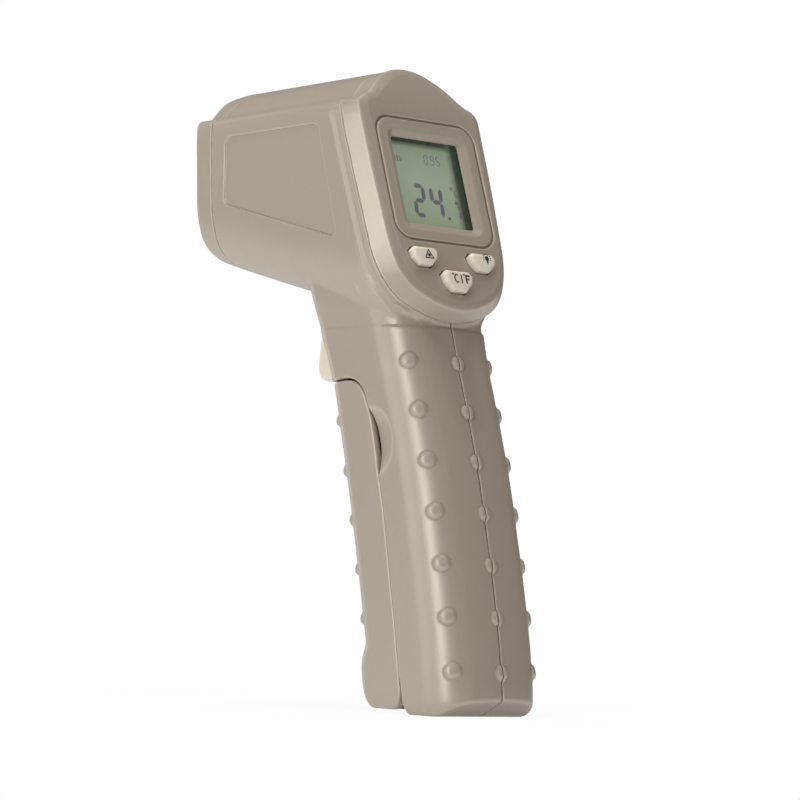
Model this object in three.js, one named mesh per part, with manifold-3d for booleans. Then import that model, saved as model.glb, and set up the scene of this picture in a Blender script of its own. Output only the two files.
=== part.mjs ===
// Pistol-shaped infrared thermometer, modelled as an assembly of separate pieces.
// Units are millimetres. +Z is up, the measuring nose points along -Y, the display faces +Y,
// +X is the user's left. The origin is the centre of the bounding box's bottom face.
// The geometry is written in a working frame whose origin is the centre of the display window;
// the inner group moves that frame to the bottom-centre origin.
import * as THREE from "three";
import { mergeVertices } from "three/addons/utils/BufferGeometryUtils.js";
import Module from "manifold-3d";

const kernel = await Module();
kernel.setup();

// ---------------------------------------------------------------- driving dimensions
const ORIGIN_Y = 19.95; // working frame to bottom-centre origin
const ORIGIN_Z = 125.2;
const HALF_SEAM = 0.15; // half of the gap between the two shells at x = 0
const FIT = 0.3; // clearance between neighbouring pieces
const WALL = 2.0; // shell wall
const PANEL_TILT = 19.89; // display panel leans forward, degrees

const NOSE_Y = -61.14; // nose seam plane at z = 0
const NOSE_LEAN = -0.0737; // its lean, mm of y per mm of z
const NOSE_LENGTH = 7.3; // length of the nose cap
const NOSE_RISE = 0.11; // share of its height the cap's underside loses at the front
const LASER_Z = 13.5; // laser axis; the sensor axis is at z = 0

const BEZEL_DEPTH = 4.45; // height of the bezel's front above its seam with the shells
const SHELL_RIM = -BEZEL_DEPTH - 0.15; // depth of the shells' rim below the panel plane
const CHANNEL = [-8.8, -5.6]; // groove beside the bezel, depths below the panel plane
const CHANNEL_INSET = 0.7;
const HUMP_BASE_Z = 15.6; // the channel stops below the hump on top of the barrel
const HUMP_UP = 21.9; // above this the hump's face leans further forward
const HUMP_LEAN = 0.21;
const UNDER_BEZEL_Z = -35.6; // the grip's rear starts below this

const WINDOW = [10.2, 11.2]; // half width and half height of the display opening
const FRAME_GROOVE = [15.1, 15.9, 4.6]; // half width, half height, corner radius
const FRAME_GROOVE_HALF = 0.32; // half of the groove's width

const HANDLE_HALF_WIDTH = 15.2;
const DOOR_PIVOT = [7.3, -120.0]; // y, z of the battery door hinge
const DOOR_RADIUS = 4.25; // door corner round the hinge
const HINGE_BORE = 1.1; // radius
const TRIGGER_PIVOT = [-30.5, -22.5]; // y, z of the trigger pin
const SWITCH_Z = -34.5; // height of the trigger switch
const TRIGGER_SPRING_Z = -41.2;

const BATTERY_RADIUS = 10.5 / 2;
const BATTERY_LENGTH = 44.5;
const BATTERY_CENTER = [0, -1.9, -88.5]; // centre of the battery pair
const BATTERY_TILT = 13.24; // degrees
const BATTERY_X = 5.55; // each battery's axis, from the middle
const BATTERY_SHIFT = 1.4; // each battery lies this far towards its button end

const BUMP_HEIGHT = 1.0;
const BUMP_RADIUS = 2.05;

// y, z of the four shell screws, driven from the right
const SHELL_SCREWS = [[-51.5, -12.5], [-13.5, -24.5], [8.2, -78.0], [16.4, -117.2]];
// x, up of the four board screws
const BOARD_SCREWS = [[13.2, 17.6], [-13.2, 17.6], [9.9, -26.2], [-9.9, -26.2]];

// ---------------------------------------------------------------- frames
const radians = THREE.MathUtils.degToRad;
const axes = (x, y, z, origin = [0, 0, 0]) =>
  new THREE.Matrix4()
    .makeBasis(new THREE.Vector3(...x), new THREE.Vector3(...y), new THREE.Vector3(...z))
    .setPosition(...origin);
const pointIn = (frame) => (x, y, z) =>
  new THREE.Vector3(x, y, z).applyMatrix4(frame).toArray();

// Panel coordinates: x across, up along the panel, out from it.
const PANEL_SIN = Math.sin(radians(PANEL_TILT));
const PANEL_COS = Math.cos(radians(PANEL_TILT));
const PANEL = axes([1, 0, 0], [0, -PANEL_SIN, PANEL_COS], [0, PANEL_COS, PANEL_SIN]);
const panelPoint = pointIn(PANEL);
const panelLoop = (loop, out) => loop.map(([x, up]) => panelPoint(x, up, out));

// Battery coordinates: x across, rearwards, up along the batteries.
const BATTERY_SIN = Math.sin(radians(BATTERY_TILT));
const BATTERY_COS = Math.cos(radians(BATTERY_TILT));
const BATTERY = axes(
  [1, 0, 0],
  [0, BATTERY_COS, BATTERY_SIN],
  [0, -BATTERY_SIN, BATTERY_COS],
  BATTERY_CENTER,
);
const batteryPoint = pointIn(BATTERY);

// ---------------------------------------------------------------- solids
// A closed geometry becomes a solid for cutting and joining.
function solid(geometry, frame = new THREE.Matrix4()) {
  const faces = geometry.index ? geometry.toNonIndexed() : geometry;
  faces.applyMatrix4(frame);
  for (const name of Object.keys(faces.attributes)) {
    if (name !== "position") faces.deleteAttribute(name);
  }
  const merged = mergeVertices(faces, 1e-4);
  const vertProperties = new Float32Array(merged.attributes.position.array);
  const triVerts = new Uint32Array(merged.index.array);
  const build = () =>
    new kernel.Manifold(new kernel.Mesh({ numProp: 3, vertProperties, triVerts }));
  const result = build();
  if (result.volume() >= 0) return result;
  // Inside out: turn every triangle over.
  for (let i = 0; i < triVerts.length; i += 3) {
    [triVerts[i + 1], triVerts[i + 2]] = [triVerts[i + 2], triVerts[i + 1]];
  }
  return build();
}
const union = (...parts) => parts.flat().reduce((whole, part) => whole.add(part));
const cut = (whole, ...tools) => tools.flat().reduce((rest, tool) => rest.subtract(tool), whole);

// A closed skin over rings of points, capped with fans.
function loft(rings) {
  const count = rings[0].length;
  const positions = [];
  const triangle = (...corners) => positions.push(...corners.flat());
  for (let r = 0; r + 1 < rings.length; r++) {
    for (let i = 0; i < count; i++) {
      const j = (i + 1) % count;
      triangle(rings[r][i], rings[r][j], rings[r + 1][j]);
      triangle(rings[r][i], rings[r + 1][j], rings[r + 1][i]);
    }
  }
  const cap = (ring, flip) => {
    const center = [0, 1, 2].map((k) => ring.reduce((sum, p) => sum + p[k], 0) / count);
    for (let i = 0; i < count; i++) {
      const j = (i + 1) % count;
      if (flip) triangle(center, ring[j], ring[i]);
      else triangle(center, ring[i], ring[j]);
    }
  };
  cap(rings[0], true);
  cap(rings[rings.length - 1], false);
  const geometry = new THREE.BufferGeometry();
  geometry.setAttribute("position", new THREE.BufferAttribute(new Float32Array(positions), 3));
  return solid(geometry);
}

// Box between [low, high] ranges along the axes of a frame.
function block([x0, x1], [y0, y1], [z0, z1], frame) {
  const box = new THREE.BoxGeometry(x1 - x0, y1 - y0, z1 - z0);
  return solid(box.translate((x0 + x1) / 2, (y0 + y1) / 2, (z0 + z1) / 2), frame);
}
const panelBlock = (x, up, out) => block(x, up, out, PANEL);
const batteryBlock = (x, rear, up) => block(x, rear, up, BATTERY);
const around = (center, half) => [center - half, center + half];
// Range of x from inner to outer on side +1 (left) or -1 (right).
const sideRange = (side, inner, outer) => (side > 0 ? [inner, outer] : [-outer, -inner]);

const shapeOf = (outline) => new THREE.Shape(outline.map(([x, y]) => new THREE.Vector2(x, y)));
const extrude = (outline, depth) =>
  new THREE.ExtrudeGeometry(shapeOf(outline), { depth, bevelEnabled: false, steps: 1 });
// Outline in a frame's (y, z) pulled along x.
function crossPlate(outline, [x0, x1], frame = new THREE.Matrix4()) {
  const across = axes([0, 1, 0], [0, 0, 1], [1, 0, 0], [x0, 0, 0]);
  return solid(extrude(outline, x1 - x0), frame.clone().multiply(across));
}
// Outline in (x, up) pulled out of the panel.
const panelPlate = (outline, [out0, out1]) =>
  solid(extrude(outline, out1 - out0).translate(0, 0, out0), PANEL);

// Round bar or cone between two points.
function bar(start, end, radius, segments, endRadius = radius) {
  const direction = new THREE.Vector3(...end).sub(new THREE.Vector3(...start));
  const length = direction.length();
  const geometry = new THREE.CylinderGeometry(endRadius, radius, length, segments, 1);
  const turn = new THREE.Quaternion().setFromUnitVectors(
    new THREE.Vector3(0, 1, 0),
    direction.normalize(),
  );
  const frame = new THREE.Matrix4().makeRotationFromQuaternion(turn).setPosition(...start);
  return solid(geometry.translate(0, length / 2, 0), frame);
}
const barX = ([x0, x1], [y, z], radius, segments) =>
  bar([x0, y, z], [x1, y, z], radius, segments);
const barY = ([y0, y1], z, radius, segments, endRadius) =>
  bar([0, y0, z], [0, y1, z], radius, segments, endRadius);
const panelBar = ([x, up], [out0, out1], radius, segments, endRadius) =>
  bar(panelPoint(x, up, out0), panelPoint(x, up, out1), radius, segments, endRadius);

// Turned piece: profile of (radius, height) pairs about the frame's y axis.
function turned(profile, segments, frame) {
  const points = profile.map(([radius, height]) => new THREE.Vector2(radius, height));
  return solid(new THREE.LatheGeometry(points, segments), frame);
}
// Turned piece whose axis runs rearwards from y at height z.
const turnedY = (profile, segments, y, z) =>
  turned(profile, segments, new THREE.Matrix4().makeTranslation(0, y, z));

// Round wire through a list of points.
function wire(points, radius = 0.55) {
  const sides = 5;
  const path = new THREE.CatmullRomCurve3(
    points.map((point) => new THREE.Vector3(...point)),
    false,
    "centripetal",
  );
  const section = Array.from({ length: sides }, (_, i) => {
    const angle = (2 * Math.PI * i) / sides;
    return [radius * Math.cos(angle), radius * Math.sin(angle)];
  });
  const options = { steps: 14, bevelEnabled: false, extrudePath: path };
  return solid(new THREE.ExtrudeGeometry(shapeOf(section), options));
}

// Coil spring with its axis from start to end and closely wound end turns.
function coil(start, end, radius, wireRadius, turns) {
  const perTurn = 8;
  const sides = 4;
  const endTurns = 0.75;
  const closePitch = wireRadius * 2.25;
  const origin = new THREE.Vector3(...start);
  const axis = new THREE.Vector3(...end).sub(origin);
  const rise = axis.length() - 2 * wireRadius;
  axis.normalize();
  const across = new THREE.Vector3(1, 0, 0);
  const third = new THREE.Vector3().crossVectors(axis, across);
  const heightAt = (turn) => {
    if (turn < endTurns) return closePitch * turn;
    if (turn > turns - endTurns) return rise - closePitch * (turns - turn);
    const low = closePitch * endTurns;
    return low + ((rise - 2 * low) * (turn - endTurns)) / (turns - 2 * endTurns);
  };
  const rings = [];
  const count = Math.round(turns * perTurn);
  for (let i = 0; i <= count; i++) {
    const turn = (turns * i) / count;
    const angle = 2 * Math.PI * turn;
    const outward = across
      .clone()
      .multiplyScalar(Math.cos(angle))
      .addScaledVector(third, Math.sin(angle));
    const center = origin
      .clone()
      .addScaledVector(axis, wireRadius + heightAt(turn))
      .addScaledVector(outward, radius);
    rings.push(
      Array.from({ length: sides }, (_, k) => {
        const around = (2 * Math.PI * k) / sides;
        return center
          .clone()
          .addScaledVector(outward, wireRadius * Math.cos(around))
          .addScaledVector(axis, wireRadius * Math.sin(around))
          .toArray();
      }),
    );
  }
  return loft(rings);
}

// ---------------------------------------------------------------- flat loops
// Half outline from top to bottom on +x becomes a closed loop.
const mirror = (half) => [
  ...half,
  ...half.slice(1, -1).reverse().map(([x, y]) => [-x, y]),
];

// Moves a closed loop inwards; a negative distance moves it outwards.
function inset(loop, distance) {
  const sharpest = 1.2; // limits how far a sharp corner moves
  const count = loop.length;
  const next = (i) => loop[(i + 1) % count];
  const area = loop.reduce((sum, [x, y], i) => sum + x * next(i)[1] - next(i)[0] * y, 0);
  const turn = area > 0 ? 1 : -1;
  const normal = (from, to) => {
    const edge = [to[0] - from[0], to[1] - from[1]];
    const length = Math.hypot(...edge);
    return [(-edge[1] / length) * turn, (edge[0] / length) * turn];
  };
  return loop.map((point, i) => {
    const before = normal(loop[(i + count - 1) % count], point);
    const after = normal(point, next(i));
    const [x, y] = [before[0] + after[0], before[1] + after[1]];
    const scale = (2 * distance) / Math.max(x * x + y * y, sharpest);
    return [point[0] + x * scale, point[1] + y * scale];
  });
}

// Points on an arc, angles in degrees.
const arc = (center, radius, from, to, steps) =>
  Array.from({ length: steps + 1 }, (_, i) => {
    const angle = radians(from + ((to - from) * i) / steps);
    return [center[0] + radius * Math.cos(angle), center[1] + radius * Math.sin(angle)];
  });

function roundRect(halfWidth, halfHeight, radius) {
  const x = halfWidth - radius;
  const y = halfHeight - radius;
  const corners = [[x, y], [-x, y], [-x, -y], [x, -y]];
  return corners.flatMap((corner, i) => arc(corner, radius, 90 * i, 90 * (i + 1), 3));
}

// ---------------------------------------------------------------- outer form
// Barrel section at the nose seam: x, z, top to bottom.
const SECTION_NOSE = [
  [0, 27.8], [4.2, 27.25], [8.2, 25.8], [11.8, 23.95], [15.0, 20.9], [17.3, 18.75],
  [19.8, 18.35], [20.8, 17.0], [21.0, 4.3], [20.85, -5.2], [20.07, -9.9], [18.7, -13.6],
  [16.2, -16.3], [12.45, -18.2], [6, -19.1], [0, -20.1],
];
// Section where the barrel meets the groove beside the bezel: x, z.
const SECTION_REAR = [
  ...SECTION_NOSE.slice(0, 8),
  [20.85, 0], [20.4, -14.5], [19.9, -21], [18.6, -25.4], [16.2, -29.4], [12.85, -32.5],
  [6.5, -34.1], [0, -35.0],
];
// Shell outline at the bezel seam: x, up.
const SEAM_LOOP = mirror([
  [0, 31.2], [4.2, 30.6], [8.2, 29.1], [11.8, 27.1], [15, 23.85], [17.3, 21.55],
  [19.8, 21.15], [20.8, 19.7], [21.1, 5], [20.7, -8], [20.2, -19], [18.5, -24.6],
  [14.9, -29.6], [9.04, -32.8], [0, -34.8],
]);
// Front edge of the bezel: x, up.
const FRONT_LOOP = mirror([
  [0, 30.3], [3.8, 29.7], [7.2, 27.7], [10.3, 25.2], [13.3, 22.5], [15.2, 21.4],
  [16.9, 20.7], [17.8, 19.4], [17.85, 5], [17.4, -8], [16.6, -19], [15.2, -24.2],
  [12.0, -28.4], [7.0, -31.2], [0, -32.7],
]);
// Grip stations, top to bottom: z, y front, y rear, half width.
const GRIP = [
  [-17, -30, 1.0, 18.0], [-22, -29.5, 3.0, 17.9], [-28.5, -27.7, 5.8, 16.7],
  [-35.5, -25.2, 8.0, 15.7], [-48, -20.3, 12.0, HANDLE_HALF_WIDTH],
  [-59.3, -17.0, 15.9, HANDLE_HALF_WIDTH], [-71.6, -13.6, 19.75, HANDLE_HALF_WIDTH],
  [-90, -9.0, 24.4, HANDLE_HALF_WIDTH], [-109.7, -4.7, 28.6, HANDLE_HALF_WIDTH],
  [-113.4, -5.9, 29.2, HANDLE_HALF_WIDTH], [-119.5, -5.2, 30.0, 15.1],
  [-122.9, -4.0, 30.2, 14.8], [-125.2, -1.5, 30.1, 13.2],
];
const GRIP_ABOVE_BASE = GRIP.slice(0, -1);

const noseY = (z, offset) => NOSE_Y + offset + NOSE_LEAN * z;
// y at height z of the plane lying at a given distance out from the panel.
const panelY = (z, out) => (out - z * PANEL_SIN) / PANEL_COS;

function barrel(distance, noseOffset, rearOut) {
  const nose = inset(mirror(SECTION_NOSE), distance);
  const rear = inset(mirror(SECTION_REAR), distance);
  return loft([
    nose.map(([x, z]) => [x, noseY(z, noseOffset), z]),
    rear.map(([x, z]) => [x, panelY(z, rearOut), z]),
  ]);
}
function collar(distance, out0, out1) {
  const loop = inset(SEAM_LOOP, distance);
  return loft([panelLoop(loop, out0), panelLoop(loop, out1)]);
}
function gripRing([z, front, rear, halfWidth], distance) {
  const rearRadius = 7.6;
  const frontRadius = 5.0;
  const rearCenter = [halfWidth - rearRadius, rear - 1.0 - rearRadius * 0.98];
  const frontCenter = [halfWidth - frontRadius, front + frontRadius];
  const half = [
    [0, rear],
    [4.2, rear - 0.35],
    ...[72, 45, 21, 0].flatMap((angle) => arc(rearCenter, rearRadius, angle, angle, 1).slice(1)),
    ...arc(frontCenter, frontRadius, 0, -90, 2),
    [0, front],
  ];
  return inset(mirror(half), distance).map(([x, y]) => [x, y, z]);
}
const grip = (distance, stations = GRIP) =>
  loft(stations.map((station) => gripRing(station, distance)));

// Space for the bezel, cleared from the top of the grip.
const bezelSpace = (out, floorZ) =>
  collar(-6, out, 14).intersect(block([-30, 30], [-40, 40], [floorZ, 40]));

// Chamfer across the rear edge of the base, optionally shifted.
function baseChamfer(shiftY = 0, lift = 0) {
  const front = 22.6 + shiftY;
  const outline = [
    [front, -125.3 + lift], [31.5 + shiftY, -120.6 + lift], [40, -120.6 + lift],
    [40, -130], [front, -130],
  ];
  return crossPlate(outline, [-30, 30]);
}

// ---------------------------------------------------------------- battery door outline
// Upper and rear edge of the door, front to rear: y, z.
const DOOR_SEAM = [
  [-17.2, -48.35], [-14.2, -47.97], [-11.5, -47.82], [-8.8, -48.37], [-6.5, -49.86],
  [-4.9, -52.0], [-3.6, -54.6], [-2.3, -57.5], [-0.95, -62.2], [0, -65.7], [0.6, -68.7],
  [2.8, -76.2], [4.8, -85.4], [6.7, -94.6], [8.7, -103.7], [10.2, -111.7], [11.1, -116.8],
];
// The door's edge, grown rearwards and upwards, from a point ahead of the grip.
const doorEdge = (grow) => [
  [-30, -48.35 + grow],
  ...DOOR_SEAM.map(([y, z], i) => [
    y + (i < 3 ? 0 : grow * 0.95),
    z + (i < 6 ? grow : grow * 0.25),
  ]),
];
const DOOR_LOOP = [
  ...doorEdge(0),
  ...arc(DOOR_PIVOT, DOOR_RADIUS, 25, -90, 6),
  [-4, -124.25], [-30, -124.25],
];
// The shells' opening for the door runs straight out through the base.
const DOOR_OPENING = [
  ...doorEdge(FIT),
  [12.05, -119.0], [12.35, -122.5], [13.6, -126.5], [-30, -126.5],
];

// ---------------------------------------------------------------- shells
// Rows of bumps down the grip's rear: y, z of the side bumps.
const BUMP_ROWS = [
  [7.4, -43.58], [11.59, -55.09], [15.33, -66.7], [18.69, -78.47], [21.68, -90.31],
  [24.31, -102.32], [26.75, -114.55],
];
// Trapezoid sunk into each side of the barrel: y, z.
const SIDE_PANEL = [
  [-55.6, 13.3], [-20.2, 13.3], [-18.7, 12.0], [-11.5, -12.6], [-12.8, -14.2],
  [-54.6, -3.6], [-56.0, -2.2], [-56.4, 12.0],
];

function bump(top, outward) {
  const length = Math.hypot(...outward);
  const root = top.map((c, i) => c - (outward[i] / length) * (BUMP_HEIGHT + 1.2));
  return bar(root, top, BUMP_RADIUS, 8, BUMP_RADIUS - 0.5);
}
const bumpRow = ([y, z]) => [
  bump([12.3, y, z], [0.66, 0.72, 0.2]),
  bump([-12.3, y, z], [-0.66, 0.72, 0.2]),
  bump([0, y + 3.35, z], [0, 0.957, 0.28]),
];

function outerForm() {
  const channel = cut(collar(-3, ...CHANNEL), collar(CHANNEL_INSET, -9.5, -5));
  const belowHump = block([-40, 40], [-60, 60], [-60, HUMP_BASE_Z]);
  const hump = barrel(0, -5, SHELL_RIM).intersect(
    block([-40, 40], [-40, 60], [HUMP_BASE_Z, 60]),
  );
  // Under the bezel the handle's rear steps in a little.
  const steppedGrip = grip(0).intersect(grip(0).translate([0, -1.3, 0]));
  return union(
    barrel(0, 0, CHANNEL[0]),
    hump,
    collar(CHANNEL_INSET, -13, -8.9),
    cut(collar(0, -9.1, SHELL_RIM), channel.intersect(belowHump)),
    cut(grip(0), bezelSpace(CHANNEL[0], UNDER_BEZEL_Z)),
    cut(steppedGrip, bezelSpace(-4.9, -36.0)),
    BUMP_ROWS.flatMap(bumpRow),
  );
}

function cavity() {
  return union(
    barrel(WALL, -1, -14),
    collar(WALL, -15, -4),
    cut(
      grip(WALL, GRIP_ABOVE_BASE),
      bezelSpace(CHANNEL[0] - WALL, UNDER_BEZEL_Z - WALL),
      baseChamfer(-0.84, 1.6),
    ),
  );
}

const sidePanel = (side) =>
  cut(crossPlate(SIDE_PANEL, sideRange(side, 14, 24)), barrel(0.4, -3, -3));

// Ellipsoid that hollows one side of the grip.
function sideHollow(side) {
  const ellipsoid = new THREE.SphereGeometry(1, 16, 12).scale(5.5, 9.5, 11.4).rotateX(0.3045);
  return solid(ellipsoid.translate(side * (HANDLE_HALF_WIDTH + 4.0), -0.85, -62.6));
}

const shellBosses = () =>
  union(
    SHELL_SCREWS.map((place) => barX([-20, 0], place, 3.9, 10)),
    SHELL_SCREWS.map((place) => barX([-1, 20], place, 2.9, 10)),
    barX([-20, -6.9], TRIGGER_PIVOT, 2.6, 10),
    barX([6.9, 20], TRIGGER_PIVOT, 2.6, 10),
  );

// Rib across the barrel, bored for the sensor tube and the laser module.
const barrelRib = () =>
  cut(
    block([-20, 20], [-53.0, -51.4], [-19, 22]),
    barY([-60, -40], 0, 7.75, 20),
    barY([-70, -40], LASER_Z, 4.25, 12),
    block([-6, 6], [-60, -40], [17.5, 30]),
  );

// Hinge arm of the battery door, with a foot that reaches the shell's side.
function hingeArm(side) {
  const half = 1.7;
  const [y, z] = DOOR_PIVOT;
  return union(
    block(sideRange(side, 10.4, 12.2), [y - half, 14.5], around(z, half)),
    block(sideRange(side, 10.4, 14.2), [12.6, 15.0], around(z, half)),
  );
}

const screwHole = (place) => [
  barX([-30, -13.2], place, 2.9, 12), // counterbore
  barX([-14, 11.5], place, 1.35, 8), // shank and thread
];

// Both shells as one body, before it is split at x = 0.
function shellBody() {
  const within = union(
    barrel(0.5, 0.4, CHANNEL[0]),
    collar(0.9, -13, -5.2),
    cut(grip(0.5, GRIP_ABOVE_BASE), baseChamfer()),
  );
  const hollow = cut(outerForm(), cavity(), sidePanel(1), sidePanel(-1), baseChamfer());
  const fitted = union(hollow, shellBosses().intersect(within), barrelRib().intersect(within));
  const opened = cut(
    fitted,
    crossPlate(DOOR_OPENING, [-30, 30]),
    sideHollow(1),
    sideHollow(-1),
    block([-6.6, 6.6], [-38.2, -14], [-47.3, -20]), // trigger slot
    barX([-11.6, 11.6], TRIGGER_PIVOT, 1.55, 10),
  );
  return cut(
    union(opened, hingeArm(-1), hingeArm(1)),
    barX([-11.9, 11.9], DOOR_PIVOT, HINGE_BORE, 10),
    SHELL_SCREWS.flatMap(screwHole),
  );
}
const shellHalf = (body, side) =>
  body.intersect(block(sideRange(side, HALF_SEAM, 60), [-120, 120], [-160, 80]));

// ---------------------------------------------------------------- nose cap
// Ring of the cap; its underside rises towards the front.
function noseRing(distance, offset) {
  const forward = Math.min(Math.max(-offset / NOSE_LENGTH, 0), 1);
  return inset(mirror(SECTION_NOSE), distance).map(([x, z]) => {
    const height = z < 0 ? z * (1 - NOSE_RISE * forward) : z;
    return [x, noseY(height, offset), height];
  });
}

function noseCap() {
  const skin = cut(
    loft([
      noseRing(0, -FIT),
      noseRing(0.35, -NOSE_LENGTH + 1.3),
      noseRing(1.6, -NOSE_LENGTH),
    ]),
    loft([noseRing(WALL, 1), noseRing(WALL + 0.4, -NOSE_LENGTH + 2.2)]),
  );
  // Plug that sits inside the shells.
  const plug = cut(
    loft([noseRing(WALL - 0.4, -1.2), noseRing(WALL + FIT, -0.9), noseRing(WALL + FIT, 3.6)]),
    loft([noseRing(WALL + 1.5, -2), noseRing(WALL + 1.5, 5)]),
  );
  const sleeves = union(
    barY([-67.6, -60.8], 0, 9.2, 20),
    barY([-68.2, -61.6], LASER_Z, 4.2, 12),
  );
  return cut(
    union(skin, plug, sleeves),
    barY([-70.5, -64.4], 0, 11.4, 20, 7.0), // tapered mouth
    barY([-66, -58], 0, 7.35, 20), // seat of the sensor tube
    barY([-72, -58], LASER_Z, 1.6, 12), // laser hole
    barY([-64.2, -58], LASER_Z, 3.35, 12), // seat of the laser module
  );
}

// ---------------------------------------------------------------- buttons
// Six-sided cap with cut corners: x, up from its centre.
const CAP_OUTLINE = [
  [-3.95, 1.15], [-2.9, 2.15], [2.9, 2.15], [3.95, 1.15],
  [3.55, -0.55], [1.75, -2.3], [-1.75, -2.3], [-3.55, -0.55],
];
const LARGE_CAP_OUTLINE = CAP_OUTLINE.map(([x, up]) => [x * 1.13, up * 1.16]);
const BUTTONS = {
  laser: { center: [8.85, -20.5], outline: CAP_OUTLINE },
  backlight: { center: [-8.85, -20.5], outline: CAP_OUTLINE },
  unit: { center: [0, -26.1], outline: LARGE_CAP_OUTLINE },
};
const capLoop = ({ center, outline }, distance) =>
  inset(outline, distance).map(([x, up]) => [x + center[0], up + center[1]]);

function button(design) {
  const edge = capLoop(design, 0);
  return union(
    loft([
      panelLoop(edge, -2.6),
      panelLoop(edge, 1.1),
      panelLoop(capLoop(design, 0.55), 1.7),
    ]),
    panelPlate(capLoop(design, -0.85), [-3.25, -2.35]), // flange under the bezel
    panelBar(design.center, [-3.7, -3.0], 1.2, 8), // stem towards the switch
  );
}
const buttonSwitch = ({ center }) =>
  union(
    panelBlock(around(center[0], 2.2), around(center[1], 2.2), [-7.7, -5.6]),
    panelBar(center, [-5.7, -4.55], 1.1, 8),
  );

// ---------------------------------------------------------------- bezel
// Everything above the hump's leaning face, moved back by a distance.
function humpWedge(distance) {
  const low = HUMP_UP - 0.02;
  const top = 60;
  const outline = [
    [low, -distance], [top, -(top - HUMP_UP) * HUMP_LEAN - distance], [top, 20], [low, 20],
  ];
  return crossPlate(outline, [-40, 40], PANEL);
}

// Rings from the seam to the front. With no recess they form the outside, whose front edge
// is bevelled; with one they form a hollow whose front lies that far back.
function bezelRings(distance, recess) {
  const share = recess ? 0.5 : 0.86; // place of the middle ring
  const back = inset(SEAM_LOOP, distance);
  const front = inset(FRONT_LOOP, distance);
  const middle = back.map(([x, up], i) => [
    x + (front[i][0] - x) * share,
    up + (front[i][1] - up) * share,
  ]);
  return [
    panelLoop(back, -BEZEL_DEPTH - (recess ? 1 : 0)),
    panelLoop(middle, -BEZEL_DEPTH * (1 - share)),
    panelLoop(recess ? front : inset(FRONT_LOOP, distance + 0.5), -recess),
  ];
}

// Plug behind the front that sits inside the shells' rim.
function bezelPlug() {
  const ring = (distance, out) => panelLoop(inset(SEAM_LOOP, WALL + distance), out);
  return cut(
    loft([ring(FIT, -7.2), ring(FIT, -4.2), ring(1.0, -3.2)]),
    loft([ring(1.4, -8), ring(1.4, -2.5)]),
  );
}

// Bosses for the board screws, kept inside the bezel.
function boardBosses() {
  const [, middle, front] = bezelRings(0.8, 0.6);
  const inside = cut(
    loft([panelLoop(inset(SEAM_LOOP, 3.0), -9), middle, front]),
    humpWedge(0.6),
  );
  const bosses = BOARD_SCREWS.map((place) => panelBar(place, [-7.7, -1.2], 2.1, 10));
  return union(bosses).intersect(inside);
}

// Sloping edge round the display opening.
function windowFunnel() {
  const [width, height] = WINDOW;
  return loft([
    panelLoop(roundRect(width, height, 0.8), -0.85),
    panelLoop(roundRect(width + 3.3, height + 3.0, 2.8), 0.02),
    panelLoop(roundRect(width + 3.8, height + 3.5, 3.0), 1),
  ]);
}

// Narrow groove round the display frame.
function frameGroove() {
  const [width, height, corner] = FRAME_GROOVE;
  const half = FRAME_GROOVE_HALF;
  const outside = roundRect(width + half, height + half, corner);
  const inside = roundRect(width - half, height - half, corner - 0.5);
  return cut(
    loft([panelLoop(outside, 1), panelLoop(outside, -0.55)]),
    loft([panelLoop(inside, 2), panelLoop(inside, -2)]),
  );
}

function bezel() {
  const hollow = cut(loft(bezelRings(1.9, 1.95)), humpWedge(1.9));
  const skin = cut(loft(bezelRings(0, 0)), humpWedge(0), hollow);
  return cut(
    union(skin, bezelPlug(), boardBosses()),
    panelBlock(around(0, WINDOW[0]), around(0, WINDOW[1]), [-4, 2]),
    windowFunnel(),
    frameGroove(),
    panelBlock([-12.3, 12.3], [-12.9, 12.9], [-4, -1.35]), // pocket for the clear window
    Object.values(BUTTONS).map((design) => panelPlate(capLoop(design, -0.35), [-5, 2])),
    BOARD_SCREWS.map((place) => panelBar(place, [-8.5, -2.6], 0.85, 8)),
  );
}

// ---------------------------------------------------------------- display and main board
// Flat layers behind the bezel: ranges of x, up and out.
const DISPLAY_LAYERS = {
  display_window: [[-12.0, 12.0], [-12.6, 12.6], [-2.35, -1.65]],
  lcd_panel: [[-13.3, 13.3], [-14.2, 14.2], [-4.75, -2.65]],
  backlight_diffuser: [[-13.0, 13.0], [-11.6, 14.0], [-7.3, -5.05]],
  zebra_connector: [[-12.0, 12.0], [-14.0, -12.4], [-7.65, -5.05]],
};
// Main board outline: x, up.
const BOARD_OUTLINE = [
  [-15.4, 20], [15.4, 20], [15.9, 0], [15.6, -18], [12.6, -25.2],
  [9.8, -28.6], [-9.8, -28.6], [-12.6, -25.2], [-15.6, -18], [-15.9, 0],
];
const mainBoard = () =>
  cut(
    panelPlate(BOARD_OUTLINE, [-9.55, -7.95]),
    BOARD_SCREWS.map((place) => panelBar(place, [-10, -7.5], 1.2, 10)),
  );
const processor = () => panelBlock([-5, 5], [-6, 4], [-11.6, -9.8]);
const boardScrew = (place) =>
  union(
    panelBar(place, [-3.4, -9.9], 0.7, 8),
    panelBar(place, [-9.8, -11.2], 2.0, 12, 1.6), // head
  );

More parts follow.
